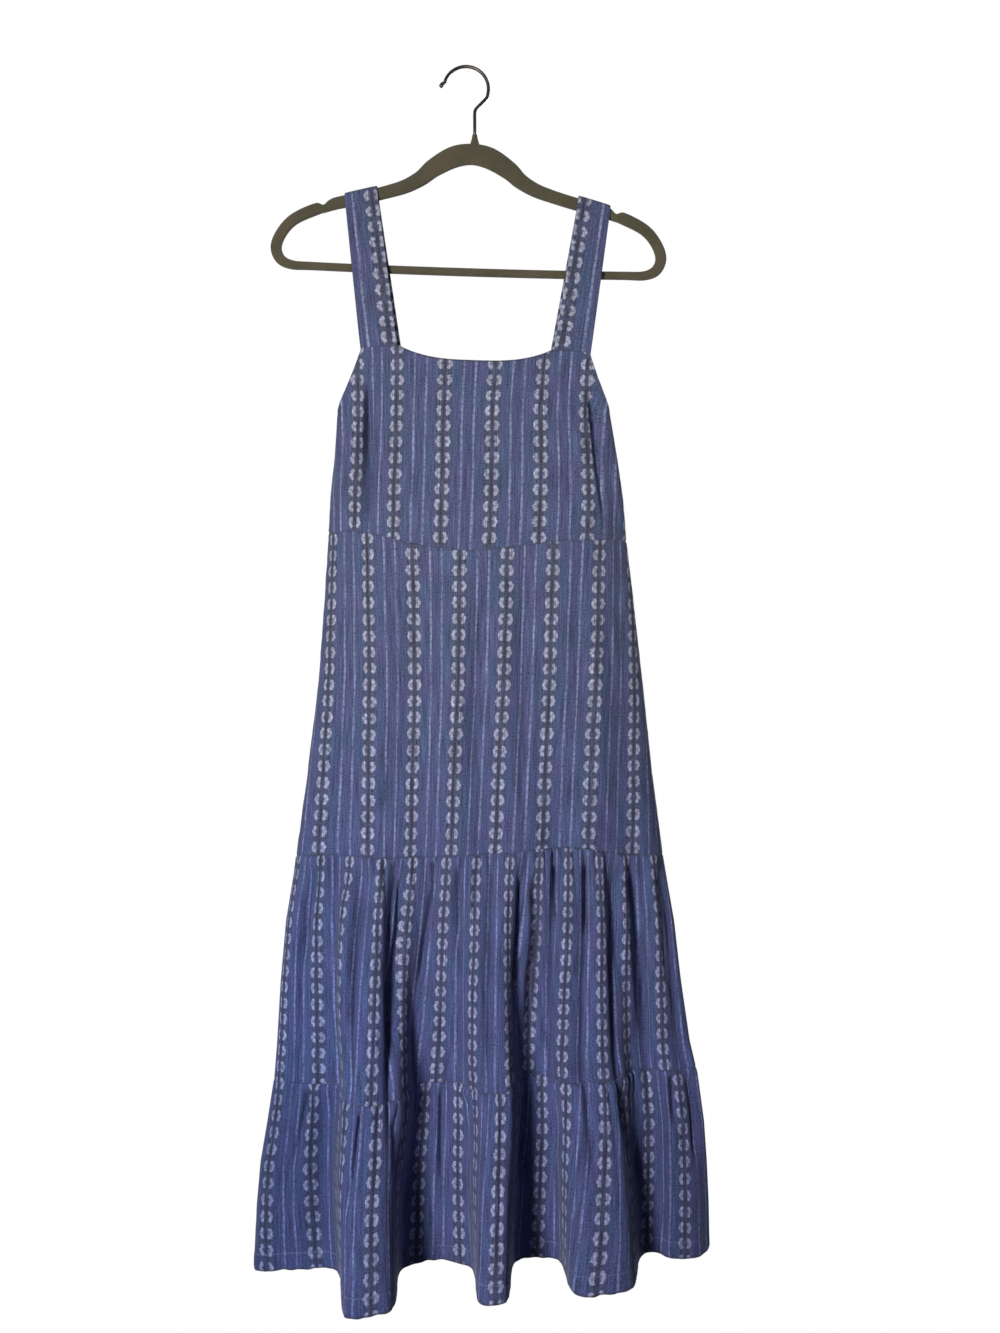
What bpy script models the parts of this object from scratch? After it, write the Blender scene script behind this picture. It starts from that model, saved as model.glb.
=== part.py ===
# A sleeveless dress with two gathered tiers, hanging from a slim clothes hanger.
# Metres, +Z up, the front towards -Y. The origin is the crown of the space inside the hook.
import math

import bmesh
import bpy
import numpy as np

MM = 0.001

# Cloth and seams
CLOTH = 1.5 * MM
STRAP_CLOTH = 2.0 * MM
SEAM_GAP = 0.3 * MM
FRONT = -1.0
BACK = 1.0

# Columns of faces across each half of the dress, from the left side seam to the right
ARMHOLE_COLUMNS = 5
STRAP_COLUMNS = 4
NECK_COLUMNS = 10
SKIRT_COLUMNS = 38
UPPER_GATHERS = 38
LOWER_GATHERS = 50
LINE_SAMPLES = 16

# Heights in millimetres below the crown of the hook
UNDERARM = -389.0
STRAP_SEAM = {"left": -315.0, "right": -320.0}
NECK_DIP = 14.5
ARMHOLE_POWER = 1.5

# Where the straps meet the front and the back bodice, outer and inner corners across
STRAP_CORNERS = {
    (FRONT, "left"): (-116.5, -75.0),
    (FRONT, "right"): (138.5, 97.0),
    (BACK, "left"): (-112.5, -72.0),
    (BACK, "right"): (133.5, 93.0),
}
STRAP_TOPS = {"left": (-136.0, -99.5), "right": (162.0, 126.0)}
STRAP_ROWS = 5
OVER_ROWS = 6

# Room between a strap and the hanger, its lift over the arm, and how late it leaves the bodice
STRAP_ROOM = 0.5
STRAP_LIFT = 0.2
STRAP_EASE = 1.3

# Bodice rings: height, left side, right side, depth in front and behind, fullness, crease depth
BODICE_COLUMNS = ("height", "left", "right", "front", "back", "fullness", "crease")
BODICE_RINGS = (
    (-290, -142.0, 158.0, 13.0, 13.0, 4.2, 0.0),
    (-345, -143.0, 159.5, 17.0, 15.5, 3.8, 0.0),
    (-389, -144.0, 161.5, 23.0, 20.0, 3.3, 3.0),
    (-440, -147.0, 170.0, 31.0, 25.0, 2.9, 5.0),
    (-485, -151.5, 176.5, 38.0, 30.0, 2.7, 4.0),
    (-532, -154.0, 180.0, 44.0, 34.0, 2.6, 2.0),
)
BODICE_CREASES = ((0.15, 0.030), (0.93, 0.028))

# Soft folds where the plain skirt ends, each a share of the width, a half width and a depth
SKIRT_FOLDS = {
    FRONT: (
        (0.16, 0.030, -4.0),
        (0.25, 0.035, 5.0),
        (0.36, 0.035, -3.5),
        (0.45, 0.030, 3.0),
        (0.52, 0.025, -2.5),
        (0.59, 0.035, 4.5),
        (0.68, 0.025, -4.0),
        (0.77, 0.030, 3.5),
        (0.87, 0.030, -4.0),
    ),
    BACK: (
        (0.14, 0.030, -3.5),
        (0.24, 0.035, 4.5),
        (0.34, 0.030, -3.5),
        (0.44, 0.035, 4.0),
        (0.55, 0.030, -4.0),
        (0.65, 0.030, 4.0),
        (0.76, 0.030, -3.0),
        (0.85, 0.030, 3.5),
    ),
}

# Upper tier seam: left side, right side, depth in front and behind, fullness
UPPER_RING = {"left": -190.0, "right": 221.0, FRONT: 54.0, BACK: 43.0, "fullness": 2.6}

# Folds of the two tiers, a row for each crest or valley from left to right, in millimetres:
# where it starts on the upper seam, then its middle, half width and depth on the lower seam
# and on the hem. Its shoulders are rounded back by a share of its depth, the right one more
# than the left by its lean.
TIER_COLUMNS = (
    "start", "seam_x", "seam_half", "seam_depth", "hem_x", "hem_half", "hem_depth", "lean",
)
TIER_FOLDS = {
    FRONT: (
        (-162, -172, 31, 21, -183, 44, 35, 0.0),
        (-114, -97, 25, 88, -97, 21, 134, 0.07),
        (-52, -29, 20, 21, -30, 36, 31, 0.0),
        (16, 36, 16, 62, 31, 15, 112, 0.0),
        (70, 76, 12, 9, 79, 24, 15, 0.0),
        (118, 126, 22, 34, 142, 25, 93, 0.06),
        (176, 188, 12, 3, 203, 13, 6, 0.0),
        (200, 230, 14, 10, 242, 16, 18, 0.0),
    ),
    BACK: (
        (-160, -176, 24, 22, -186, 36, 32, 0.0),
        (-112, -114, 20, 56, -118, 18, 84, 0.04),
        (-66, -64, 18, 20, -62, 24, 26, 0.0),
        (-18, -8, 18, 60, -4, 16, 94, -0.04),
        (34, 42, 16, 18, 46, 22, 22, 0.0),
        (86, 98, 22, 54, 106, 20, 80, 0.05),
        (136, 156, 16, 16, 164, 20, 18, 0.0),
        (184, 210, 22, 26, 224, 26, 38, 0.0),
    ),
}
SHOULDER = 0.10

# Seam heights along the front, as share of the width and height; the back runs level between
WAIST_SEAM = (
    (0.0, -523),
    (0.14, -524),
    (0.30, -537),
    (0.46, -546),
    (0.62, -541),
    (0.80, -534),
    (1.0, -532),
)
UPPER_SEAM = (
    (0.0, -884),
    (0.14, -878),
    (0.28, -879),
    (0.50, -875),
    (0.72, -868),
    (0.87, -878),
    (1.0, -882),
)
LOWER_SEAM = ((0.0, -1134), (0.5, -1131), (1.0, -1122))
HEM = ((0.0, -1339), (0.10, -1330), (0.25, -1328), (1.0, -1328))

# Outline of the sides seen from the front: height, left, right
SIDE_COLUMNS = ("height", "left", "right")
SIDES = (
    (-530, -154, 180),
    (-600, -158.5, 188),
    (-690, -165, 198),
    (-790, -177, 208.5),
    (-885, -190, 221),
    (-957, -202, 234),
    (-1024, -208, 242),
    (-1092, -212, 252),
    (-1130, -215, 261),
    (-1182, -223, 268),
    (-1227, -230.5, 271),
    (-1272, -234, 273),
    (-1330, -236, 274),
)

# Rows of each piece, as a share of its length from the upper seam down
BODICE_ROWS = (0.0, 0.14, 0.32, 0.52, 0.76, 1.0)
SKIRT_ROWS = (0.0, 0.25, 0.5, 0.75, 1.0)
UPPER_TIER_ROWS = (0.0, 0.10, 0.26, 0.46, 0.66, 0.84, 1.0)
LOWER_TIER_ROWS = (0.0, 0.12, 0.30, 0.52, 0.76, 1.0)

# Gathers under a seam: height of the waves, and the length over which they die out
UPPER_GATHER = {"height": 3.4, "fade": 45.0}
LOWER_GATHER = {"height": 3.6, "fade": 40.0}
GATHER_UNEVEN = 0.25

# Hanger, from its middle outwards: across, down from the top of its arch, and the reach of the
# frame above and below its centre line
HANGER_COLUMNS = ("across", "down", "over", "under")
HANGER_HALF = (
    (0.0, 12.2, 11.8, 11.6),
    (20.0, 15.8, 11.9, 11.9),
    (42.0, 28.5, 10.3, 10.3),
    (56.0, 40.6, 8.6, 8.6),
    (73.0, 50.2, 7.6, 7.6),
    (93.0, 57.0, 7.0, 7.0),
    (121.0, 64.8, 6.8, 6.8),
    (150.0, 71.8, 6.6, 6.6),
    (157.5, 74.0, 5.0, 6.5),
    (164.0, 76.0, 2.0, 6.5),
    (171.0, 78.4, 6.4, 6.4),
    (196.0, 90.5, 6.3, 6.2),
    (209.5, 105.0, 6.1, 6.0),
    (216.0, 122.0, 6.3, 6.1),
    (211.5, 135.5, 5.9, 5.8),
    (199.0, 142.0, 5.0, 4.9),
    (176.0, 143.0, 4.4, 4.4),
    (90.0, 144.2, 4.4, 4.4),
    (0.0, 144.6, 4.4, 4.4),
)
HANGER_TOP = (6.7, -84.9)
HANGER_ROLL = math.radians(-1.8)
HANGER_THICK = 6.0
HANGER_STEPS = 3

# Section of the frame: share of the way from the outer edge to the inner, and of half the depth
HANGER_SECTION = (
    (0.0, -0.5),
    (0.13, -1.0),
    (0.87, -1.0),
    (1.0, -0.5),
    (1.0, 0.5),
    (0.87, 1.0),
    (0.13, 1.0),
    (0.0, 0.5),
)

# Collar moulded on top of the frame: half width and half depth at its foot and at its top
COLLAR_FOOT = (6.2, 2.8)
COLLAR_HEAD = (2.9, 2.4)
COLLAR_TALL = 11.0
COLLAR_SUNK = 5.0
COLLAR_SIDES = 12

# Hook: wire radius, loop, stem, and the small ball at its tip
WIRE = 1.8
LOOP_RADIUS = 25.2
LOOP_ENDS = (164.0, -24.0)
LOOP_STEPS = 18
STEM_ACROSS = 9.8
STEM_BEND = ((13.8, -43.2), (10.6, -47.0), (9.8, -51.0))
TIP = ((-26.6, -17.4), (-27.6, -19.6))
TIP_RADIUS = 2.4
HOOK_SIDES = 10

MATERIALS = {
    "dobby": ((0.075, 0.092, 0.235, 1.0), 0.85, 0.0),
    "flock": ((0.075, 0.068, 0.045, 1.0), 0.95, 0.0),
    "wire": ((0.060, 0.050, 0.042, 1.0), 0.35, 1.0),
}


def clear_scene():
    for item in list(bpy.data.objects):
        bpy.data.objects.remove(item, do_unlink=True)


def material(name):
    made = bpy.data.materials.get(name)
    if made is None:
        colour, roughness, metallic = MATERIALS[name]
        made = bpy.data.materials.new(name)
        made.use_nodes = True
        shader = made.node_tree.nodes["Principled BSDF"]
        shader.inputs["Base Color"].default_value = colour
        shader.inputs["Roughness"].default_value = roughness
        shader.inputs["Metallic"].default_value = metallic
    return made


def add_object(name, mesh, finish):
    item = bpy.data.objects.new(name, mesh)
    mesh.materials.append(material(finish))
    bpy.context.scene.collection.objects.link(item)
    mesh.shade_smooth()
    mesh.set_sharp_from_angle(angle=math.radians(50))
    return item


def column(table, names, name):
    return np.array([row[names.index(name)] for row in table], float)


def side_at(hand, height):
    """How far across the side of the dress is at a height."""
    heights = -column(SIDES, SIDE_COLUMNS, "height")
    return np.interp(-height, heights, column(SIDES, SIDE_COLUMNS, hand))


def arc(line):
    """Distance along a line of points, starting at zero."""
    steps = np.linalg.norm(np.diff(line, axis=0), axis=1)
    return np.concatenate(([0.0], np.cumsum(steps)))


def smooth_line(points, before, after):
    """A Hermite line through the points, with LINE_SAMPLES pieces between each two."""
    points = np.array(points, float)
    whole = np.vstack(([before], points, [after]))
    spans = np.sqrt(np.linalg.norm(np.diff(whole, axis=0), axis=1))
    knots = np.concatenate(([0.0], np.cumsum(spans)))
    slopes = (whole[2:] - whole[:-2]) / (knots[2:] - knots[:-2])[:, None]
    t = np.linspace(0, 1, LINE_SAMPLES, endpoint=False)[:, None]
    pieces = []
    for i in range(len(points) - 1):
        span = knots[i + 2] - knots[i + 1]
        pieces.append(
            (2 * t**3 - 3 * t**2 + 1) * points[i]
            + (t**3 - 2 * t**2 + t) * span * slopes[i]
            + (3 * t**2 - 2 * t**3) * points[i + 1]
            + (t**3 - t**2) * span * slopes[i + 1]
        )
    return np.vstack(pieces + [points[-1:]])


def seam_height(rows, side, share):
    """Height of a seam at each share of the width. Behind, it runs level from side to side."""
    rows = np.array(rows, float)
    if side == BACK:
        return np.interp(share, (0.0, 1.0), rows[[0, -1], 1])
    line = smooth_line(rows, 2 * rows[0] - rows[1], 2 * rows[-1] - rows[-2])
    return np.interp(share, line[:, 0], line[:, 1])


def outward(line):
    """Outward direction in plan at each point of a half ring, square to the side seams."""
    along = np.gradient(line, axis=0)
    normal = np.column_stack((-along[:, 1], along[:, 0]))
    normal /= np.linalg.norm(normal, axis=1)[:, None]
    normal[0] = (-1.0, 0.0)
    normal[-1] = (1.0, 0.0)
    return normal


def half_ring(left, right, depth, fullness):
    """Half a superellipse in plan, as points of across and depth."""
    angle = np.linspace(0, math.pi, 20 * LINE_SAMPLES + 1)
    cosine = -np.cos(angle)
    across = np.sign(cosine) * np.abs(cosine) ** (2 / fullness)
    deep = np.abs(np.sin(angle)) ** (2 / fullness)
    return np.column_stack(((left + right) / 2 + (right - left) / 2 * across, depth * deep))


def rippled(line, waves):
    """The line moved outwards by one rounded bump for each wave of share, width and depth."""
    reach = arc(line)
    share = reach / reach[-1]
    shift = sum(depth * np.exp(-(((share - place) / width) ** 2)) for place, width, depth in waves)
    return line + outward(line) * shift[:, None]


def at_shares(line, share):
    reach = arc(line) / arc(line)[-1]
    return np.column_stack([np.interp(share, reach, line[:, i]) for i in (0, 1)])


def bodice_ring(row, side):
    """Half a ring of the bodice from its row of the table, with the two creases in it."""
    left, right, front, back, fullness, crease = row[1:]
    ring = half_ring(left, right, front if side == FRONT else back, fullness)
    return rippled(ring, [(place, width, -crease) for place, width in BODICE_CREASES])


def upper_ring(side):
    ring = half_ring(UPPER_RING["left"], UPPER_RING["right"], UPPER_RING[side], UPPER_RING["fullness"])
    return rippled(ring, SKIRT_FOLDS[side])


def fold_ring(side, level):
    """Plan line through the shoulders and middle of each fold, and where the middles lie."""
    folds = TIER_FOLDS[side]
    x, half, depth = (column(folds, TIER_COLUMNS, f"{level}_{part}") for part in ("x", "half", "depth"))
    height = {"seam": LOWER_SEAM, "hem": HEM}[level][-1][1]
    left, right = side_at("left", height), side_at("right", height)
    lean = column(folds, TIER_COLUMNS, "lean")
    before = np.concatenate(([0.0], depth[:-1]))
    after = np.concatenate((depth[1:], [0.0]))
    rows = [(left, 0.0)]
    for i in range(len(folds)):
        rows.append((x[i] - half[i], depth[i] + (SHOULDER - lean[i]) * (before[i] - depth[i])))
        rows.append((x[i], depth[i]))
        rows.append((x[i] + half[i], depth[i] + (SHOULDER + lean[i]) * (after[i] - depth[i])))
    rows.append((right, 0.0))
    line = smooth_line(rows, (rows[1][0], -rows[1][1]), (rows[-2][0], -rows[-2][1]))
    middles = (2 + 3 * np.arange(len(folds))) * LINE_SAMPLES
    return line, np.concatenate(([0.0], arc(line)[middles], [arc(line)[-1]]))


def tier_columns(side, count):
    """For each ring of the tiers, the plan points of the columns and their shares of the ring."""
    hem, hem_knots = fold_ring(side, "hem")
    seam, seam_knots = fold_ring(side, "seam")
    top = upper_ring(side)
    starts = column(TIER_FOLDS[side], TIER_COLUMNS, "start")
    top_knots = np.concatenate(([0.0], np.interp(starts, top[:, 0], arc(top)), [arc(top)[-1]]))
    share = np.linspace(0, 1, count + 1)
    knot_shares = hem_knots / hem_knots[-1]
    made = {}
    for name, line, knots in (("top", top, top_knots), ("seam", seam, seam_knots), ("hem", hem, hem_knots)):
        place = np.interp(share, knot_shares, knots / knots[-1])
        made[name] = (at_shares(line, place), place)
    return made


def hang(top, bottom, top_height, bottom_height, rows):
    """Plan points and heights of each row between two rings, kept to the sides' outline."""
    share = np.linspace(0, 1, len(top))
    plans, levels = [], []
    for v in rows:
        plan = top + (bottom - top) * v
        level = top_height + (bottom_height - top_height) * v
        if 0 < v < 1:
            left = side_at("left", level[0]) - plan[0, 0]
            right = side_at("right", level[-1]) - plan[-1, 0]
            plan[:, 0] += left * (1 - share) + right * share
        plans.append(plan)
        levels.append(level)
    return plans, levels


def gathered(plans, levels, gather):
    """Rows of a tier with a wave at each second column, dying out below the seam."""
    index = np.arange(len(plans[0]))
    wave = np.where(index % 2 == 0, -1.0, 1.0) * (1 + GATHER_UNEVEN * np.sin(2.4 * index))
    wave[[0, -1]] = 0.0
    made = []
    for plan, level in zip(plans, levels):
        fade = np.exp(-(levels[0] - level) / gather["fade"])
        made.append(plan + outward(plan) * (gather["height"] * wave * fade)[:, None])
    return made


def wall(name, side, plans, levels):
    """A closed cloth wall through rows of plan points, thickened level towards the inside."""
    mesh = bpy.data.meshes.new(name)
    shape = bmesh.new()
    outer, inner = [], []
    for plan, level in zip(plans, levels):
        inside = plan - outward(plan) * CLOTH / MM
        for grid, line in ((outer, plan), (inner, inside)):
            points = np.column_stack((line[:, 0] * MM, side * (line[:, 1] * MM + SEAM_GAP / 2), level * MM))
            grid.append([shape.verts.new(point) for point in points])
    close_wall(shape, outer, inner)
    shape.to_mesh(mesh)
    shape.free()
    return add_object(name, mesh, "dobby")


def close_wall(shape, outer, inner):
    """Faces of both sides of a wall and of its four edges, turned to point outwards."""
    rows, columns = len(outer), len(outer[0])
    for i in range(rows - 1):
        for j in range(columns - 1):
            shape.faces.new((outer[i][j], outer[i + 1][j], outer[i + 1][j + 1], outer[i][j + 1]))
            shape.faces.new((inner[i][j], inner[i][j + 1], inner[i + 1][j + 1], inner[i + 1][j]))
    for j in range(columns - 1):
        shape.faces.new((outer[0][j], outer[0][j + 1], inner[0][j + 1], inner[0][j]))
        shape.faces.new((outer[-1][j + 1], outer[-1][j], inner[-1][j], inner[-1][j + 1]))
    for i in range(rows - 1):
        shape.faces.new((outer[i + 1][0], outer[i][0], inner[i][0], inner[i + 1][0]))
        shape.faces.new((outer[i][-1], outer[i + 1][-1], inner[i + 1][-1], inner[i][-1]))
    bmesh.ops.recalc_face_normals(shape, faces=shape.faces)


def bodice_shares(ring, side):
    """Column shares of a bodice half, with a column on each strap corner."""
    reach = arc(ring) / arc(ring)[-1]
    across = [STRAP_CORNERS[side, "left"][0], STRAP_CORNERS[side, "left"][1]]
    across += [STRAP_CORNERS[side, "right"][1], STRAP_CORNERS[side, "right"][0]]
    corners = [0.0, *np.interp(across, ring[:, 0], reach), 1.0]
    counts = (ARMHOLE_COLUMNS, STRAP_COLUMNS, NECK_COLUMNS, STRAP_COLUMNS, ARMHOLE_COLUMNS)
    pieces = [np.linspace(a, b, n, endpoint=False) for a, b, n in zip(corners, corners[1:], counts)]
    return np.concatenate(pieces + [[1.0]]), corners


def bodice_top(share, corners):
    """Height of the top edge: armhole, strap seam, dipping neck, strap seam, armhole."""
    left, right = STRAP_SEAM["left"], STRAP_SEAM["right"]
    rise = np.interp(share, (0.0, corners[1]), (0.0, 1.0)) ** ARMHOLE_POWER
    fall = np.interp(share, (corners[4], 1.0), (1.0, 0.0)) ** ARMHOLE_POWER
    neck = np.interp(share, (corners[2], corners[3]), (0.0, 1.0))
    middle = left + (right - left) * neck - NECK_DIP * (1 - np.abs(2 * neck - 1) ** 3)
    height = np.where(share <= corners[1], UNDERARM + (left - UNDERARM) * rise, middle)
    return np.where(share >= corners[4], UNDERARM + (right - UNDERARM) * fall, height)


def bodice(name, side):
    rings = [bodice_ring(row, side) for row in BODICE_RINGS]
    share, corners = bodice_shares(rings[1], side)
    lines = np.array([at_shares(ring, share) for ring in rings])
    ring_heights = -column(BODICE_RINGS, BODICE_COLUMNS, "height")
    top = bodice_top(share, corners)
    seam = seam_height(WAIST_SEAM, side, share) + SEAM_GAP / MM / 2
    plans, levels = [], []
    for v in BODICE_ROWS:
        level = top + (seam - top) * v
        reach = -(level + (BODICE_RINGS[-1][0] - seam) * v)
        plan = [[np.interp(reach[j], ring_heights, lines[:, j, i]) for i in (0, 1)] for j in range(len(share))]
        plans.append(np.array(plan))
        levels.append(level)
    return wall(name, side, plans, levels)


def skirt(name, side):
    share = np.linspace(0, 1, SKIRT_COLUMNS + 1)
    top = at_shares(bodice_ring(BODICE_RINGS[-1], side), share)
    bottom = at_shares(upper_ring(side), share)
    upper = seam_height(WAIST_SEAM, side, share) - SEAM_GAP / MM / 2
    lower = seam_height(UPPER_SEAM, side, share) + SEAM_GAP / MM / 2
    plans, levels = hang(top, bottom, upper, lower, SKIRT_ROWS)
    return wall(name, side, plans, levels)


def tier(name, side, rings, seams, rows, gathers, gather):
    columns = tier_columns(side, 2 * gathers)
    (top, top_place), (bottom, bottom_place) = (columns[ring] for ring in rings)
    upper = seam_height(seams[0], side, top_place) - SEAM_GAP / MM / 2
    lower = seam_height(seams[1], side, bottom_place)
    if seams[1] is not HEM:
        lower = lower + SEAM_GAP / MM / 2
    plans, levels = hang(top, bottom, upper, lower, rows)
    return wall(name, side, gathered(plans, levels, gather), levels)


def hanger_line():
    """Centre line of the hanger, closed, with its reach above and below, in its own frame."""
    half = np.array(HANGER_HALF, float)
    half[:, 1] *= -1
    other = half[1:-1][::-1] * (-1, 1, 1, 1)
    return np.vstack((half, other))


def hanger_world(across, down):
    turn = np.array(
        ((math.cos(HANGER_ROLL), -math.sin(HANGER_ROLL)), (math.sin(HANGER_ROLL), math.cos(HANGER_ROLL)))
    )
    return np.column_stack((across, down)) @ turn.T + np.array(HANGER_TOP)


def hanger_edges():
    """Outer and inner edge of the hanger's flat outline, as closed lines across and up."""
    stations = hanger_line()
    line = smooth_line(np.vstack((stations, stations[:1])), stations[-1], stations[1])[:-1]
    line = line[:: LINE_SAMPLES // HANGER_STEPS]
    ahead = np.roll(line[:, :2], -1, axis=0) - np.roll(line[:, :2], 1, axis=0)
    ahead /= np.linalg.norm(ahead, axis=1)[:, None]
    away = np.column_stack((-ahead[:, 1], ahead[:, 0]))
    over, under = (line[:, [HANGER_COLUMNS.index(name)]] for name in ("over", "under"))
    outer = line[:, :2] + away * over
    inner = line[:, :2] - away * under
    return hanger_world(*outer.T), hanger_world(*inner.T)


def tube(name, rings, closed):
    """A mesh object through rings of points, joined end to end or capped."""
    mesh = bpy.data.meshes.new(name)
    shape = bmesh.new()
    verts = [[shape.verts.new(np.array(point) * MM) for point in ring] for ring in rings]
    following = verts[1:] + verts[:1] if closed else verts[1:]
    for this, after in zip(verts, following):
        for k in range(len(this)):
            j = (k + 1) % len(this)
            shape.faces.new((this[k], after[k], after[j], this[j]))
    if not closed:
        shape.faces.new(verts[0])
        shape.faces.new(verts[-1])
    bmesh.ops.recalc_face_normals(shape, faces=shape.faces)
    shape.to_mesh(mesh)
    shape.free()
    return mesh


def hanger_frame(name):
    """The flat ring of the hanger, an eight-sided section carried round its outline."""
    outer, inner = hanger_edges()
    flat = HANGER_THICK / 2
    rings = []
    for a, b in zip(outer, inner):
        points = [a + (b - a) * across for across, _ in HANGER_SECTION]
        rings.append([(x, deep * flat, z) for (x, z), (_, deep) in zip(points, HANGER_SECTION)])
    frame = add_object(name, tube(name, rings, True), "flock")
    levels = ((HANGER_TOP[1] - COLLAR_SUNK, COLLAR_FOOT), (HANGER_TOP[1], COLLAR_FOOT))
    levels += ((HANGER_TOP[1] + COLLAR_TALL, COLLAR_HEAD),)
    turn = np.linspace(0, 2 * math.pi, COLLAR_SIDES, endpoint=False)
    rings = [
        [(STEM_ACROSS + wide * math.cos(a), deep * math.sin(a), z) for a in turn]
        for z, (wide, deep) in levels
    ]
    collar = add_object("collar_form", tube("collar_form", rings, False), "flock")
    collar.hide_render = True
    collar.display_type = "WIRE"
    join = frame.modifiers.new("collar", "BOOLEAN")
    join.operation = "UNION"
    join.object = collar


def hook_path():
    """Centre line of the wire, from the ball at its tip round the loop and down the stem."""
    start, stop = np.radians(LOOP_ENDS)
    angle = np.linspace(start, stop, LOOP_STEPS + 1)
    centre = WIRE - LOOP_RADIUS
    loop = np.column_stack((LOOP_RADIUS * np.cos(angle), centre + LOOP_RADIUS * np.sin(angle)))
    foot = HANGER_TOP[1] + COLLAR_TALL + SEAM_GAP / MM
    return np.vstack((TIP[::-1], loop, STEM_BEND, ((STEM_ACROSS, foot),)))


def hanger_hook(name):
    """The wire hook, a round tube with a small ball at its tip."""
    path = hook_path()
    radius = np.full(len(path), WIRE)
    radius[:2] = TIP_RADIUS
    ahead = np.gradient(path, axis=0)
    ahead[-1] = (0.0, -1.0)
    ahead /= np.linalg.norm(ahead, axis=1)[:, None]
    away = np.column_stack((-ahead[:, 1], ahead[:, 0]))
    turn = np.linspace(0, 2 * math.pi, HOOK_SIDES, endpoint=False)
    rings = []
    for point, side, size in zip(path, away, radius):
        across = [point + side * size * math.cos(angle) for angle in turn]
        rings.append([(x, size * math.sin(angle), z) for (x, z), angle in zip(across, turn)])
    return add_object(name, tube(name, rings, False), "wire")


def strap_crest(hand, across):
    """Heights along the straight line on which a strap rests over the hanger arm."""
    edge, _ = hanger_edges()
    low, high = sorted(STRAP_TOPS[hand])
    under = (edge[:, 1] > HANGER_TOP[1] - HANGER_HALF[-1][1] / 2) & (edge[:, 0] > low) & (edge[:, 0] < high)
    x, z = edge[under].T
    slope = (z[-1] - z[0]) / (x[-1] - x[0])
    return slope * across + np.max(z - slope * x)


def strap_side(hand, side, top_x, top_z, over, reach):
    """Rows of one face of a strap, from its seam with the bodice up to the hanger arm."""
    share = np.linspace(0, 1, STRAP_COLUMNS + 1)
    base_x = np.interp(share, (0, 1), STRAP_CORNERS[side, hand])
    base_y = bodice_depth(side) - (CLOTH + STRAP_CLOTH) / MM / 2 + reach
    base_z = STRAP_SEAM[hand] + SEAM_GAP / MM
    rows = []
    for v in np.linspace(0, 1, STRAP_ROWS):
        y = np.full(len(share), base_y + (over - base_y) * v**STRAP_EASE)
        rows.append((base_x + (top_x - base_x) * v, side * y, base_z + (top_z - base_z) * v))
    return rows


def strap(name, hand):
    """A band from the front bodice up over the hanger arm and down to the back bodice."""
    top_x = np.linspace(*STRAP_TOPS[hand], STRAP_COLUMNS + 1)
    top_z = strap_crest(hand, top_x) - HANGER_THICK / 2 + STRAP_LIFT
    mesh = bpy.data.meshes.new(name)
    shape = bmesh.new()
    grids = []
    for reach in (STRAP_CLOTH / MM, 0.0):
        over = HANGER_THICK / 2 + STRAP_ROOM + reach
        rows = strap_side(hand, FRONT, top_x, top_z, over, reach)
        for angle in np.linspace(0, math.pi, OVER_ROWS + 1)[1:-1]:
            y = np.full(len(top_x), -over * math.cos(angle))
            rows.append((top_x, y, top_z + over * math.sin(angle)))
        rows += strap_side(hand, BACK, top_x, top_z, over, reach)[::-1]
        grids.append([[shape.verts.new(point) for point in np.column_stack(row) * MM] for row in rows])
    close_wall(shape, *grids)
    shape.to_mesh(mesh)
    shape.free()
    return add_object(name, mesh, "dobby")


def bodice_depth(side):
    """Depth of the bodice's outer face at its strap seams."""
    depths = column(BODICE_RINGS, BODICE_COLUMNS, "front" if side == FRONT else "back")
    heights = -column(BODICE_RINGS, BODICE_COLUMNS, "height")
    return float(np.interp(-STRAP_SEAM["left"], heights, depths))


clear_scene()
for word, half_side in (("front", FRONT), ("back", BACK)):
    bodice(f"bodice_{word}", half_side)
    skirt(f"skirt_{word}", half_side)
    tier(
        f"tier_upper_{word}", half_side, ("top", "seam"), (UPPER_SEAM, LOWER_SEAM),
        UPPER_TIER_ROWS, UPPER_GATHERS, UPPER_GATHER,
    )
    tier(
        f"tier_lower_{word}", half_side, ("seam", "hem"), (LOWER_SEAM, HEM),
        LOWER_TIER_ROWS, LOWER_GATHERS, LOWER_GATHER,
    )
for hand_word in ("left", "right"):
    strap(f"strap_{hand_word}", hand_word)
hanger_frame("hanger_frame")
hanger_hook("hanger_hook")
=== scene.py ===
import math
from functools import partial

import bmesh
import bpy
import numpy as np
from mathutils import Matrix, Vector


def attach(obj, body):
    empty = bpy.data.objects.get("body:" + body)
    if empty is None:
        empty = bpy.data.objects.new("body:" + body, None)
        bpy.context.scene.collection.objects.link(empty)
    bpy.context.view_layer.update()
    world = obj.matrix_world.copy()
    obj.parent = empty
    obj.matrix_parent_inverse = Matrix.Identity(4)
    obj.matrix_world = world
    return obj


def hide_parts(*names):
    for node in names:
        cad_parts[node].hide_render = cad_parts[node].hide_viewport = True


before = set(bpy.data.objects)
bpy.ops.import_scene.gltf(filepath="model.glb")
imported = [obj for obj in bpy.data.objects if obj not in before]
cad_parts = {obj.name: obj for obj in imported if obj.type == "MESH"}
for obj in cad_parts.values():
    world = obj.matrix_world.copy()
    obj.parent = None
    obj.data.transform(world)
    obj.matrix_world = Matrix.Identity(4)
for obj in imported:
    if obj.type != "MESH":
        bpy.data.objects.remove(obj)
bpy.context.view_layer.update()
print("frame:", len(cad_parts), "nodes")

# Sizes are in millimetres unless a line says otherwise. The front of the dress faces -Y.
mm = 0.001
front, back = -1.0, 1.0
repeat = 56.7  # width of one stripe repeat of the cloth
ringPoints = 1001  # points worked out round half a ring


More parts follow.
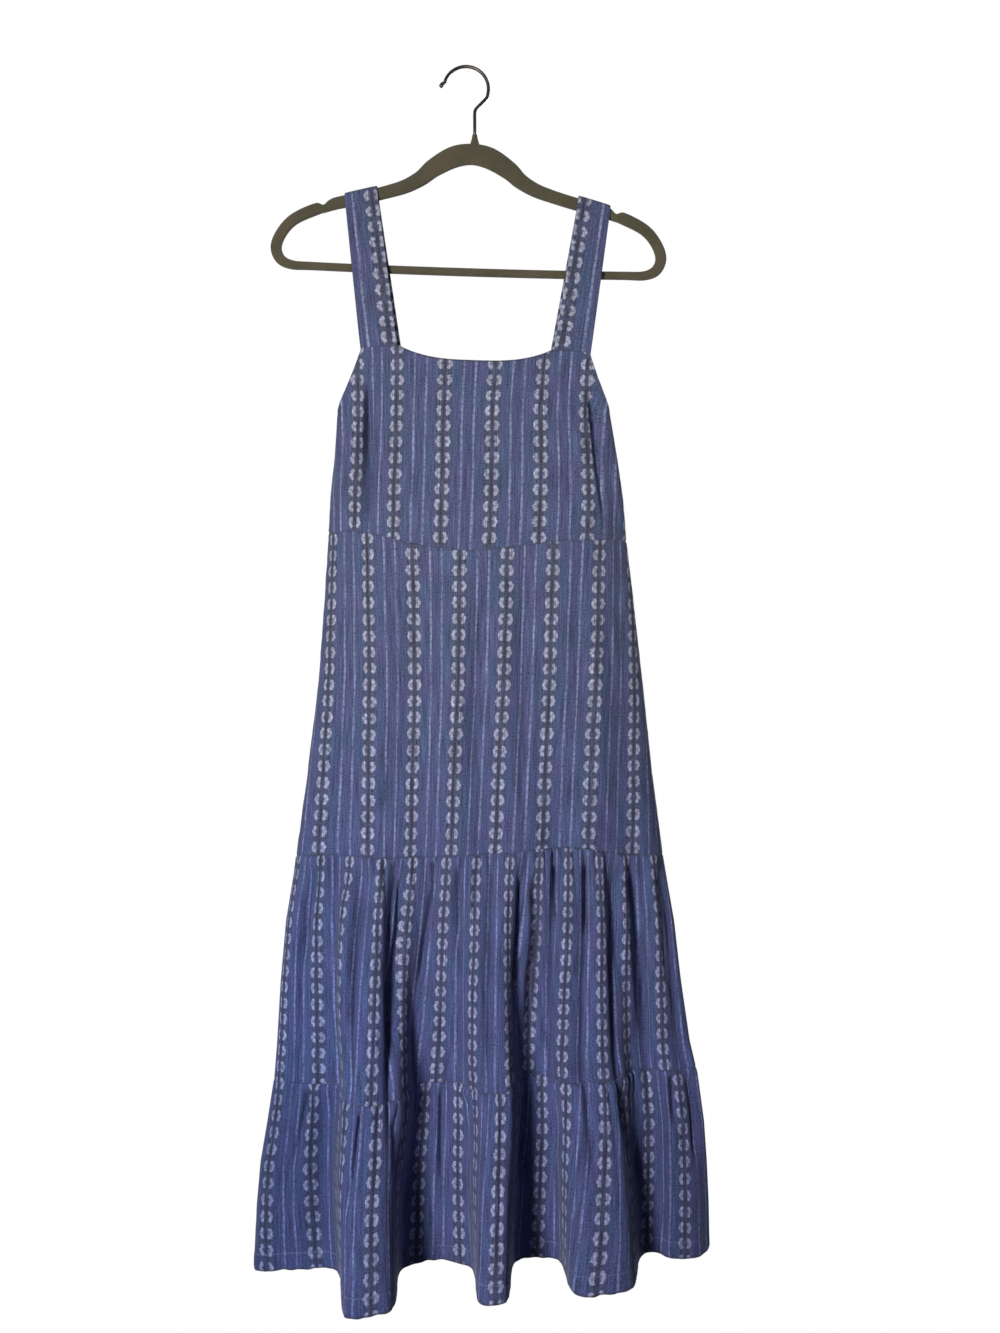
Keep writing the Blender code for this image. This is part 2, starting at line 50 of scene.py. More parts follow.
def named(table, name):
    # One column of a table as an array
    return np.array([row[table["columns"].index(name)] for row in table["rows"]], float)


def hashed(number, seed):
    # Repeatable scatter from 0 to 1: the fractional part of a large sine
    return np.modf(np.abs(np.sin(number * 12.9898 + seed * 78.233) * 43758.5453))[0]


def eased(t):
    # Smooth step, 3 t squared less 2 t cubed
    return t * t * (3 - 2 * t)


def easedBetween(value, start, stop):
    # Eased from 0 at start to 1 at stop
    return eased(np.clip((value - start) / (stop - start), 0, 1))


def noise(x, seed):
    # Value noise along a line, from -1 to 1: hashed whole numbers with eased steps between
    whole = np.floor(x)
    t = eased(x - whole)
    return 2 * (hashed(whole, seed) * (1 - t) + hashed(whole + 1, seed) * t) - 1


def noiseField(x, y, seed):
    # Value noise over a plane, from -1 to 1: noise along x in two rows, eased between the rows
    row = np.floor(y)
    t = eased(y - row)
    low = noise(x + 17.3 * hashed(row, seed + 3), seed + row % 7)
    high = noise(x + 17.3 * hashed(row + 1, seed + 3), seed + (row + 1) % 7)
    return low * (1 - t) + high * t


def arc(line):
    # Distance along a line of points, starting at zero
    steps = np.linalg.norm(np.diff(line, axis=0), axis=1)
    return np.concatenate(([0.0], np.cumsum(steps)))


def smoothLine(points, before, after, samples=40):
    # Hermite curve through the points, its slopes the chords over square-root spans
    points = np.array(points, float)
    whole = np.vstack(([before], points, [after]))
    spans = np.sqrt(np.linalg.norm(np.diff(whole, axis=0), axis=1))
    knots = np.concatenate(([0.0], np.cumsum(spans)))
    slopes = ((whole[2:] - whole[:-2]) / (knots[2:] - knots[:-2])[:, None])[:, None]
    t = np.linspace(0, 1, samples, endpoint=False)[None, :, None]
    span = spans[1:-1, None, None]
    start, stop = points[:-1, None], points[1:, None]
    made = (2 * t**3 - 3 * t**2 + 1) * start + (t**3 - 2 * t**2 + t) * span * slopes[:-1]
    made = made + (3 * t**2 - 2 * t**3) * stop + (t**3 - t**2) * span * slopes[1:]
    return np.vstack((made.reshape(-1, points.shape[1]), points[-1:]))


def halfRing(left, right, depth, fullness):
    # Half a superellipse in plan: cosine and sine raised to 2 over the fullness
    angle = np.linspace(0, math.pi, ringPoints)
    cosine = -np.cos(angle)
    across = np.sign(cosine) * np.abs(cosine) ** (2 / fullness)
    deep = np.abs(np.sin(angle)) ** (2 / fullness)
    return np.column_stack(((left + right) / 2 + (right - left) / 2 * across, depth * deep))


def outwardOf(plan):
    # Unit normal in plan of rows of points, the slope along a row turned a quarter
    along = np.gradient(plan, axis=-2)
    normal = np.stack((-along[..., 1], along[..., 0]), axis=-1)
    normal /= np.linalg.norm(normal, axis=-1, keepdims=True)
    normal[..., 0, :] = (-1.0, 0.0)
    normal[..., -1, :] = (1.0, 0.0)
    return normal


def rippled(line, places, widths, depths):
    # The line moved outwards by a bell curve for each place along it
    share = arc(line)[:, None] / arc(line)[-1]
    shift = np.sum(depths * np.exp(-(((share - places) / widths) ** 2)), axis=1)
    return line + outwardOf(line) * shift[:, None]


def atShares(line, share):
    # Points of a line at shares of its length
    reach = arc(line) / arc(line)[-1]
    return np.stack([np.interp(share, reach, line[:, i]) for i in range(line.shape[1])], axis=-1)


def edgeRows(count, tight):
    # Row shares from 0 to 1 that crowd at both ends, by a hyperbolic tangent
    t = np.linspace(-1, 1, count)
    return 0.5 + 0.5 * np.tanh(tight * t) / math.tanh(tight)


def bell(x, width):
    # A bell curve, the exponential of minus (x over the width) squared
    return np.exp(-((x / width) ** 2))


# Dress outline seen from the front: how far out each side is at a height
sides = {
    "columns": ("height", "left", "right"),
    "rows": (
        (-530, -154, 180),
        (-600, -158.5, 188),
        (-690, -165, 198),
        (-790, -177, 208.5),
        (-885, -190, 221),
        (-957, -202, 234),
        (-1024, -208, 242),
        (-1092, -212, 252),
        (-1130, -215, 261),
        (-1182, -223, 268),
        (-1227, -230.5, 271),
        (-1272, -234, 273),
        (-1330, -236, 274),
    ),
}

# Seam heights along the front as shares of the width; behind they run straight between the ends
seams = {
    "waist": (
        (0, -523), (0.14, -524), (0.30, -537), (0.46, -546), (0.62, -541), (0.80, -534), (1, -532)
    ),
    "upper": (
        (0, -884), (0.14, -878), (0.28, -879), (0.50, -875), (0.72, -868), (0.87, -878), (1, -882)
    ),
    "lower": ((0, -1134), (0.5, -1131), (1, -1122)),
    "hem": ((0, -1339), (0.10, -1330), (0.25, -1328), (1, -1328)),
}


def sideAt(hand, height):
    # Outline of one side, read from its table at a height
    return np.interp(-height, -named(sides, "height"), named(sides, hand))


def seamHeight(name, side, share):
    # Height of a seam: a smooth line through its table in front, level behind
    rows = np.array(seams[name], float)
    if side == back:
        return np.interp(share, (0.0, 1.0), rows[[0, -1], 1])
    line = smoothLine(rows, 2 * rows[0] - rows[1], 2 * rows[-1] - rows[-2])
    return np.interp(share, line[:, 0], line[:, 1])


# Where each flower pair of the cloth crosses a ring: the pair's number, and its distance from the
# left side seam along the ring at the top and at the bottom of the piece
pairs = {
    "bodice": ((0, 29, 49), (1, 73, 93), (2, 128, 145), (3, 184, 198), (4, 239, 252), (5, 289, 306)),
    "skirt": (
        (0, 21, 49), (1, 63, 109), (2, 114, 155), (3, 166, 200), (4, 218, 248), (5, 268, 301),
        (6, 321, 351), (7, 364, 404),
    ),
    "upper": (
        (0, 20, 20), (1, 53, 64), (2, 87, 128), (3, 125, 176), (4, 158, 222), (5, 196, 278),
        (6, 228, 332), (7, 266, 378), (8, 298, 432), (9, 330, 482), (10, 363, 528),
        (11, 396, 572), (12, 430, 617),
    ),
    "lower": (
        (0, 21, 44), (1, 60, 100), (4, 183, 244), (6, 267, 366), (7, 303, 414), (9, 365, 515),
        (11, 448, 639), (12, 486, 688), (13, 527, 759), (15, 593, 880), (16, 630, 927),
    ),
}

# How wide the pattern runs from side seam to side seam behind
flats = {"bodice": 400.0, "skirt": 450.0, "upper": 720.0, "lower": 900.0}


def straight(reach, place, number):
    # Linear interpolation that carries on at the last slope past both ends
    slopeLow = (number[1] - number[0]) / (place[1] - place[0])
    slopeHigh = (number[-1] - number[-2]) / (place[-1] - place[-2])
    inside = np.interp(reach, place, number)
    inside = np.where(reach < place[0], number[0] + (reach - place[0]) * slopeLow, inside)
    return np.where(reach > place[-1], number[-1] + (reach - place[-1]) * slopeHigh, inside)


def stripeAcross(key, side, reachTop, reachBottom, v, top, bottom):
    # Cut coordinate across the cloth: in front the pair table read on both rings and blended down,
    # behind an even share of the pattern's width there
    if side == front:
        number, high, low = np.array(pairs[key], float).T
        start, stop = straight(reachTop, high, number), straight(reachBottom, low, number)
        return (start + (stop - start) * v) * repeat
    share = reachTop / top + (reachBottom / bottom - reachTop / top) * v
    return flats[key] * (share - 0.5)


# Creases placed one by one: x and height where each starts and ends, half width, depth (outwards is
# positive)
creases = {
    ("bodice", front): (
        (-105, -350, -109, -536, 3.8, -11.0),
        (-122, -392, -131, -526, 8.0, 3.5),
        (138, -362, 157, -530, 3.8, -8.5),
        (126, -400, 134, -515, 8.0, 2.0),
        (-60, -430, -66, -526, 10.0, -1.4),
        (-20, -380, -24, -500, 14.0, 1.2),
        (34, -410, 30, -526, 12.0, -1.3),
        (84, -390, 88, -500, 12.0, 1.2),
        (-138, -420, -112, -396, 3.0, -1.6),
        (150, -410, 128, -388, 3.0, -1.6),
    ),
    ("bodice", back): (
        (-106, -360, -114, -522, 4.5, -5.0),
        (136, -368, 150, -520, 4.2, -5.0),
        (-66, -420, -58, -526, 10.0, 1.6),
        (-8, -400, -14, -520, 12.0, -1.6),
        (44, -420, 50, -526, 11.0, 1.5),
        (92, -390, 84, -500, 9.0, -1.4),
    ),
    ("skirt", front): (
        (-122, -540, -140, -860, 9.0, -4.0),
        (-92, -550, -106, -868, 11.0, 3.0),
        (-54, -560, -64, -850, 12.0, -3.2),
        (-1, -556, -16, -870, 12.0, 3.4),
        (21, -566, 12, -840, 7.0, -3.2),
        (47, -570, 38, -868, 9.0, 3.0),
        (69, -545, 60, -872, 7.0, -3.6),
        (98, -600, 96, -860, 10.0, 1.6),
        (120, -552, 131, -866, 8.0, -2.4),
        (143, -580, 150, -868, 9.0, 3.0),
        (166, -560, 188, -860, 8.0, -2.6),
        (-80, -700, -86, -872, 4.0, -1.8),
        (80, -640, 82, -872, 4.0, -1.6),
    ),
    ("skirt", back): (
        (-118, -545, -138, -866, 9.0, -3.6),
        (-86, -560, -98, -870, 11.0, 3.2),
        (-46, -556, -54, -850, 8.0, -3.4),
        (-6, -570, -10, -870, 12.0, 3.0),
        (34, -560, 38, -860, 8.0, -3.6),
        (70, -550, 80, -868, 11.0, 3.2),
        (108, -570, 122, -860, 8.0, -3.0),
        (146, -560, 170, -866, 10.0, 2.6),
    ),
    ("upper", front): (
        (-164, -886, -176, -1010, 5.0, -8.0),
        (-178, -900, -188, -1090, 6.0, 3.5),
        (-126, -900, -130, -1120, 11.0, 4.0),
        (-98, -888, -102, -1000, 3.5, -4.0),
        (-66, -884, -78, -1125, 4.0, -13.0),
        (-33, -880, -34, -925, 2.6, -7.0),
        (-33, -905, -53, -1040, 3.0, -9.0),
        (-7, -884, -10, -985, 4.0, -6.5),
        (12, -884, 10, -960, 3.0, -4.0),
        (60, -890, 59, -1050, 3.2, -7.5),
        (78, -884, 72, -1128, 5.0, -14.0),
        (99, -884, 99, -965, 2.8, -8.0),
        (129, -882, 130, -975, 2.8, -8.0),
        (164, -884, 171, -1030, 4.0, -5.5),
        (184, -882, 199, -1110, 5.0, -14.0),
        (214, -890, 224, -1040, 4.0, -4.0),
    ),
    ("upper", back): (
        (-140, -888, -152, -1040, 4.0, -5.0),
        (-92, -886, -98, -1000, 3.4, -4.0),
        (-58, -886, -62, -1110, 5.0, -6.5),
        (-30, -886, -34, -960, 3.0, -4.0),
        (18, -888, 20, -1040, 4.0, -5.0),
        (52, -886, 50, -970, 3.0, -3.6),
        (90, -888, 96, -1100, 5.0, -6.5),
        (128, -886, 132, -980, 3.0, -4.0),
        (176, -890, 192, -1060, 4.6, -5.5),
    ),
    ("lower", front): (
        (-171, -1134, -188, -1225, 3.6, -8.0),
        (-180, -1150, -183, -1320, 9.0, 4.0),
        (-154, -1138, -160, -1320, 8.0, -6.0),
        (-140, -1140, -136, -1325, 8.0, 4.0),
        (-106, -1131, -121, -1240, 2.8, -9.0),
        (-70, -1134, -66, -1300, 4.0, -6.0),
        (-26, -1131, -24, -1250, 4.0, -10.0),
        (4, -1136, 0, -1225, 4.0, -4.5),
        (40, -1134, 38, -1310, 1.8, -2.2),
        (60, -1134, 60, -1260, 4.0, -6.0),
        (99, -1134, 96, -1240, 4.0, -5.5),
        (117, -1134, 116, -1300, 2.6, -3.0),
        (137, -1132, 138, -1215, 4.0, -4.0),
        (177, -1130, 192, -1270, 5.0, -9.0),
        (229, -1124, 232, -1190, 4.2, -9.0),
        (212, -1140, 214, -1310, 8.0, -3.0),
        (250, -1124, 262, -1235, 4.5, -5.0),
    ),
    ("lower", back): (
        (-190, -1140, -198, -1240, 4.5, -4.5),
        (-140, -1138, -146, -1230, 4.0, -4.0),
        (-84, -1136, -88, -1250, 5.0, -5.0),
        (-32, -1136, -36, -1230, 4.0, -4.0),
        (24, -1136, 26, -1260, 5.0, -5.0),
        (72, -1136, 74, -1220, 4.0, -3.6),
        (130, -1134, 138, -1250, 5.0, -5.0),
        (186, -1134, 196, -1240, 4.4, -4.4),
    ),
}

# Along a crease: sideways bend for each millimetre of width, the width that counts most and the
# bend's length; then the shares over which its depth rises and falls
creaseRun = {"bend": (0.5, 6.0, 64.0), "rise": 0.16, "fall": 0.34}


def creaseField(key, x, z):
    # Sum over the creases of depth times a bell across it, eased in and out along it; each bends
    # sideways by noise, in step with its width
    shift = np.zeros_like(x)
    size, widest, long = creaseRun["bend"]
    for x0, z0, x1, z1, width, depth in creases[key]:
        t = (z - z0) / (z1 - z0)
        bend = min(width, widest) * size * noise(z / long + x0, 5)
        off = x - (x0 + (x1 - x0) * t) - bend
        ends = easedBetween(t, 0, creaseRun["rise"]) * easedBetween(1 - t, 0, creaseRun["fall"])
        shift += depth * bell(off, width) * ends
    return shift


# How the cloth lies on every piece
cloth = {
    "thick": 0.8,
    "crinkle": 0.35,
    "crinkleWide": (7.0, 9.0),  # spots of the wide puckers across and along the cloth
    "crinkleFine": (3.2, 5.0),
    "fineShare": 0.6,
    "seamDepth": 0.7,
    "seamWidth": 1.6,
    "still": 12.0,  # beside a side seam nothing but the seam moves, growing over this width
    "stitchUp": 17.0,  # the hem's stitch line above the hem
    "farEdge": 1000.0,  # added where an edge has neither stitch nor painted shadow line
    "rowZero": -532.0,  # height from which the pattern's rows are counted
}

# Gathers under a seam, uneven in phase and height
gather = {
    "uneven": 0.28,  # phase, as a share of one gather
    "sharp": 0.8,
    "height": (0.75, 0.55),  # middle and swing
    "rise": 3.0,
    "fade": (34.0, 0.75, 0.7),  # length, its swing, and how often it swings for each gather
    "wide": 5.2,
    "fine": (1.9, 1.6, 9.0),  # count for each wide one, size, fade
    "long": (0.42, 3.2, 18.0, 120.0),  # count for each wide one, size, rise, fade
    "sink": 1.6,
    "above": (0.9, 0.6, 9.0, 2.0),  # puckers above the seam: size, middle, fade, groove at the seam
}


def fromSides(share, length):
    # Distance along the ring from the nearer side seam
    return np.minimum(share, 1 - share) * length


def rolled(fromTop, fromBottom, share, length):
    # Grooves where seams turn in: bells of the distance from the top, bottom and side seams
    width = cloth["seamWidth"]
    across = bell(fromTop, width) + bell(fromBottom, width)
    return -cloth["seamDepth"] * (across + bell(fromSides(share, length), width))


def quietSides(share, length):
    # Eased from 0 at the side seams to 1 a little inwards
    return easedBetween(fromSides(share, length), 0, cloth["still"])


def crinkled(u, v):
    # Fine uneven puckers of the woven cloth, noise at two scales
    (wideU, wideV), (fineU, fineV) = cloth["crinkleWide"], cloth["crinkleFine"]
    fine = noiseField(u / fineU, v / fineV, 8)
    return cloth["crinkle"] * (noiseField(u / wideU, v / wideV, 2) + cloth["fineShare"] * fine)


def gatherWave(share, count, seed):
    # Rounded gathers with sharp valleys: the size of a sine, its phase and height uneven
    middle, swing = gather["height"]
    phase = share * count + gather["uneven"] * noise(share * count * 0.5, seed)
    wave = np.abs(np.sin(math.pi * phase)) ** gather["sharp"]
    return wave * (middle + swing * noise(share * count + 0.5, seed + 4))


def gathers(share, count, down, seed):
    # Gathers below a seam at three sizes: each wave rises just under the seam and dies out
    # exponentially, the widest over uneven lengths
    long, swing, often = gather["fade"]
    fade = long * (1.0 + swing * noise(share * count * often, seed + 9))
    fineCount, fineSize, fineFade = gather["fine"]
    longCount, longSize, longRise, longFade = gather["long"]
    rise = 1 - np.exp(-down / gather["rise"])
    wide = gatherWave(share, count, seed) * gather["wide"] * np.exp(-down / fade)
    fine = gatherWave(share, count * fineCount, seed + 1) * fineSize * np.exp(-down / fineFade)
    slow = noise(share * count * longCount, seed + 2) * longSize
    slow = slow * (1 - np.exp(-down / longRise)) * np.exp(-down / longFade)
    return rise * (wide + fine - gather["sink"] * np.exp(-down / fade)) + slow


def puckers(share, count, seed, fromBottom):
    # The gathers' wave once more above their seam, dying out upwards and at the seam itself
    size, middle, fade, groove = gather["above"]
    wave = size * (gatherWave(share, count, seed) - middle) * np.exp(-fromBottom / fade)
    return wave * (1 - bell(fromBottom, groove))


# Meshes
def meshOf(name, points, faces, uv=None, edge=None):
    # A mesh from whole arrays of points and quads, smooth, with cut coordinates and an edge distance
    mesh = bpy.data.meshes.new(name)
    mesh.vertices.add(len(points))
    mesh.vertices.foreach_set("co", (points * mm).astype(np.float32).ravel())
    mesh.loops.add(faces.size)
    mesh.loops.foreach_set("vertex_index", faces.astype(np.int32).ravel())
    mesh.polygons.add(len(faces))
    mesh.polygons.foreach_set("loop_start", np.arange(len(faces), dtype=np.int32) * faces.shape[1])
    mesh.update(calc_edges=True)
    if uv is not None:
        layer = mesh.uv_layers.new(name="cut")
        layer.uv.foreach_set("vector", (uv[faces.ravel()] * mm).astype(np.float32).ravel())
    if edge is not None:
        mesh.attributes.new("edge", "FLOAT", "POINT").data.foreach_set("value", edge.astype(np.float32))
    mesh.validate()
    mesh.shade_smooth()
    piece = bpy.data.objects.new(name, mesh)
    bpy.context.scene.collection.objects.link(piece)
    return piece


def shell(name, side, outer, thick, u, v, edge):
    # A closed cloth wall: the outer grid, an inner one moved in along its normals, and four rims
    rows, columns = outer.shape[:2]
    down = np.gradient(outer, axis=0)
    along = np.gradient(outer, axis=1)
    normal = np.cross(down, along) * -side
    normal /= np.linalg.norm(normal, axis=2, keepdims=True)
    inner = outer - normal * thick
    index = np.arange(rows * columns).reshape(rows, columns)
    under = index + rows * columns

    def strip(a, b, c, d):
        # Quads from four equal grids of point numbers, one grid for each corner
        return np.stack((a, b, c, d), axis=-1).reshape(-1, 4)

    faces = np.vstack((
        strip(index[:-1, :-1], index[1:, :-1], index[1:, 1:], index[:-1, 1:]),
        strip(under[:-1, :-1], under[:-1, 1:], under[1:, 1:], under[1:, :-1]),
        strip(index[0, :-1], index[0, 1:], under[0, 1:], under[0, :-1]),
        strip(index[-1, 1:], index[-1, :-1], under[-1, :-1], under[-1, 1:]),
        strip(index[:-1, 0], under[:-1, 0], under[1:, 0], index[1:, 0]),
        strip(index[1:, -1], under[1:, -1], under[:-1, -1], index[:-1, -1]),
    ))
    if side == back:
        faces = faces[:, ::-1]
    points = np.vstack((outer.reshape(-1, 3), inner.reshape(-1, 3)))
    cut = np.column_stack((u.ravel(), v.ravel()))
    return meshOf(name, points, faces, np.vstack((cut, cut)), np.tile(edge.ravel(), 2))


def solidPoints(plan, level, side):
    # Plan points and heights as points in space, the depth turned to the piece's side
    return np.stack((plan[..., 0], side * plan[..., 1], level), axis=-1)


def hung(topPlan, bottomPlan, top, bottom, share, v):
    # Rows between two rings, blended straight and kept to the outline at the sides
    plan = topPlan + (bottomPlan - topPlan) * v[..., None]
    level = top + (bottom - top) * v
    left = sideAt("left", level[:, :1]) - plan[:, :1, 0]
    right = sideAt("right", level[:, -1:]) - plan[:, -1:, 0]
    plan[..., 0] += left * (1 - share) + right * share
    return plan, level


def sweep(rings, closed):
    # Quads round and along a stack of rings, joined end to end or with the ends left to a pole
    rows, around = rings.shape[:2]
    index = np.arange(rows * around).reshape(rows, around)
    here = index if closed else index[:-1]
    ahead = np.roll(index, -1, axis=0) if closed else index[1:]
    corners = (here, np.roll(here, -1, axis=1), np.roll(ahead, -1, axis=1), ahead)
    return np.stack(corners, axis=-1).reshape(-1, 4)


def outsideOut(piece):
    # Joins points that meet and turns every face outwards
    shape = bmesh.new()
    shape.from_mesh(piece.data)
    bmesh.ops.remove_doubles(shape, verts=shape.verts, dist=1e-6)
    bmesh.ops.recalc_face_normals(shape, faces=shape.faces)
    shape.to_mesh(piece.data)
    shape.free()
    return piece


def nameOf(piece, side):
    # Name of a cloth piece in the scene
    return piece + ("Front" if side == front else "Back")


def rounded(wave, power):
    # A sine or cosine raised to a power with its sign kept, the side of a superellipse
    return np.sign(wave) * np.abs(wave) ** power


# Bodice: rings from its top to the waist, then the cut top edge
bodice = {
    "columns": ("height", "left", "right", "front", "back", "fullness", "crease"),
    "rows": (
        (-290, -142.0, 158.0, 13.0, 13.0, 4.2, 0.0),
        (-345, -143.0, 159.5, 17.0, 15.5, 3.8, 0.0),
        (-389, -144.0, 161.5, 23.0, 20.0, 3.3, 3.0),
        (-440, -147.0, 170.0, 31.0, 25.0, 2.9, 5.0),
        (-485, -151.5, 176.5, 38.0, 30.0, 2.7, 4.0),
        (-532, -154.0, 180.0, 44.0, 34.0, 2.6, 2.0),
    ),
    "creasePlaces": (0.15, 0.93),
    "creaseWidths": (0.030, 0.028),
    "creasesEnd": 14.0,  # above the waist the creases die out over this height
    "underarm": -389.0,
    "strapSeam": {"left": -315.0, "right": -320.0},
    "corners": {front: (-116.5, -75.0, 97.0, 138.5), back: (-112.5, -72.0, 93.0, 133.5)},
    "neckDip": 14.5,
    "armholePower": 1.5,
    "shadowLineReach": 8.0,  # the neck and armholes have their dark line of painted shadow, along the turned edge, inside this distance
    "edgeGroove": 1.2,  # the groove at the top edge is narrower than a seam's by this factor
    "counts": (36, 28, 68, 28, 36),
    "rowCount": 78,
    "crowd": 1.3,
}


def bodiceRing(index, side):
    # One ring of the bodice: half a superellipse with two shallow creases beside the arms
    row = dict(zip(bodice["columns"], bodice["rows"][index]))
    depth = row["front" if side == front else "back"]
    ring = halfRing(row["left"], row["right"], depth, row["fullness"])
    depths = -row["crease"] * np.ones(2)
    return rippled(ring, np.array(bodice["creasePlaces"]), np.array(bodice["creaseWidths"]), depths)


def bodiceTop(share, corners):
    # Height of the top edge: the armholes rise as a power of the share, the neck dips by a cube
    left, right, arm = bodice["strapSeam"]["left"], bodice["strapSeam"]["right"], bodice["underarm"]
    rise = np.interp(share, (0.0, corners[1]), (0.0, 1.0)) ** bodice["armholePower"]
    fall = np.interp(share, (corners[4], 1.0), (1.0, 0.0)) ** bodice["armholePower"]
    neck = np.interp(share, (corners[2], corners[3]), (0.0, 1.0))
    top = left + (right - left) * neck - bodice["neckDip"] * (1 - np.abs(2 * neck - 1) ** 3)
    top = np.where(share <= corners[1], arm + (left - arm) * rise, top)
    return np.where(share >= corners[4], arm + (right - arm) * fall, top)


def betweenRings(rings, down):
    # Plan points at distances down the bodice, blended straight between the two nearest rings
    heights = -named(bodice, "height")
    slot = np.clip(np.searchsorted(heights, down) - 1, 0, len(heights) - 2)
    t = np.clip((down - heights[slot]) / (heights[slot + 1] - heights[slot]), 0, 1)[..., None]
    column = np.broadcast_to(np.arange(rings.shape[1]), slot.shape)
    return rings[slot, column] * (1 - t) + rings[slot + 1, column] * t


def makeBodice(side):
    # Rows from the cut top edge down to the waist on the stack of rings, each point moved along its
    # normal by creases, puckers and the seams' grooves
    rings = [bodiceRing(i, side) for i in range(len(bodice["rows"]))]
    reach = arc(rings[1]) / arc(rings[1])[-1]
    corners = np.concatenate(([0.0], np.interp(bodice["corners"][side], rings[1][:, 0], reach), [1.0]))
    spans = zip(corners, corners[1:], bodice["counts"])
    share = np.concatenate([np.linspace(a, b, n, endpoint=False) for a, b, n in spans] + [[1.0]])
    top, bottom = bodiceTop(share, corners), seamHeight("waist", side, share)
    v = edgeRows(bodice["rowCount"], bodice["crowd"])[:, None]
    level = top + (bottom - top) * v
    down = -(level + (bodice["rows"][-1][0] - bottom) * v)
    plan = betweenRings(np.array([atShares(ring, share) for ring in rings]), down)
    fromTop, fromBottom = top - level, level - bottom
    topArc, bottomArc = arc(rings[1])[-1], arc(rings[-1])[-1]
    u = stripeAcross("bodice", side, share * topArc, share * bottomArc, v, topArc, bottomArc)
    held = quietSides(share, bottomArc) * easedBetween(fromBottom, 0, bodice["creasesEnd"])
    shift = (creaseField(("bodice", side), plan[..., 0], level) + crinkled(u, level)) * held
    shift = shift + rolled(fromTop * bodice["edgeGroove"], fromBottom, share, bottomArc)
    plan = plan + outwardOf(plan) * shift[..., None]
    points = solidPoints(plan, level, side)
    edge = np.where(fromTop < bodice["shadowLineReach"], fromTop, cloth["farEdge"])
    rows = level - cloth["rowZero"]
    return shell(nameOf("bodice", side), side, points, cloth["thick"], u, rows, edge)


# Skirt: soft folds where it ends, a share of the width, a half width and a depth each
skirt = {
    front: (
        (0.16, 0.030, -4.0), (0.25, 0.035, 5.0), (0.36, 0.035, -3.5), (0.45, 0.030, 3.0),
        (0.52, 0.025, -2.5), (0.59, 0.035, 4.5), (0.68, 0.025, -4.0), (0.77, 0.030, 3.5),
        (0.87, 0.030, -4.0),
    ),
    back: (
        (0.14, 0.030, -3.5), (0.24, 0.035, 4.5), (0.34, 0.030, -3.5), (0.44, 0.035, 4.0),
        (0.55, 0.030, -4.0), (0.65, 0.030, 4.0), (0.76, 0.030, -3.0), (0.85, 0.030, 3.5),
    ),
    "ring": {"left": -190.0, "right": 221.0, front: 54.0, back: 43.0, "fullness": 2.6},
    "columnCount": 240,
    "rowCount": 88,
    "crowd": 1.3,
    "creasesStart": 16.0,  # the creases grow over this height under the waist
    "creasesEnd": 10.0,
}


def upperRing(side):
    # The ring at the skirt's lower edge: half a superellipse with soft folds
    size = skirt["ring"]
    places, widths, depths = np.array(skirt[side]).T
    ring = halfRing(size["left"], size["right"], size[side], size["fullness"])
    return rippled(ring, places, widths, depths)


def makeSkirt(side):
    # Rows between the waist ring and the ring above the tiers, each point moved along its normal by
    # creases, puckers above the lower seam and the seams' grooves
    share = np.linspace(0, 1, skirt["columnCount"])
    v = edgeRows(skirt["rowCount"], skirt["crowd"])[:, None]
    topRing, bottomRing = bodiceRing(-1, side), upperRing(side)
    top, bottom = seamHeight("waist", side, share), seamHeight("upper", side, share)
    plan, level = hung(atShares(topRing, share), atShares(bottomRing, share), top, bottom, share, v)
    topArc, bottomArc = arc(topRing)[-1], arc(bottomRing)[-1]
    u = stripeAcross("skirt", side, share * topArc, share * bottomArc, v, topArc, bottomArc)
    fromTop, fromBottom = top - level, level - bottom
    ends = easedBetween(fromTop, 0, skirt["creasesStart"]) * easedBetween(fromBottom, 0, skirt["creasesEnd"])
    shift = (creaseField(("skirt", side), plan[..., 0], level) + crinkled(u, level)) * ends
    shift = shift + puckers(share, tiers["upperGathers"], 1, fromBottom)
    shift = shift * quietSides(share, bottomArc) + rolled(fromTop, fromBottom, share, bottomArc)
    plan = plan + outwardOf(plan) * shift[..., None]
    points = solidPoints(plan, level, side)
    edge = fromBottom + cloth["farEdge"]
    rows = level - cloth["rowZero"]
    return shell(nameOf("skirt", side), side, points, cloth["thick"], u, rows, edge)


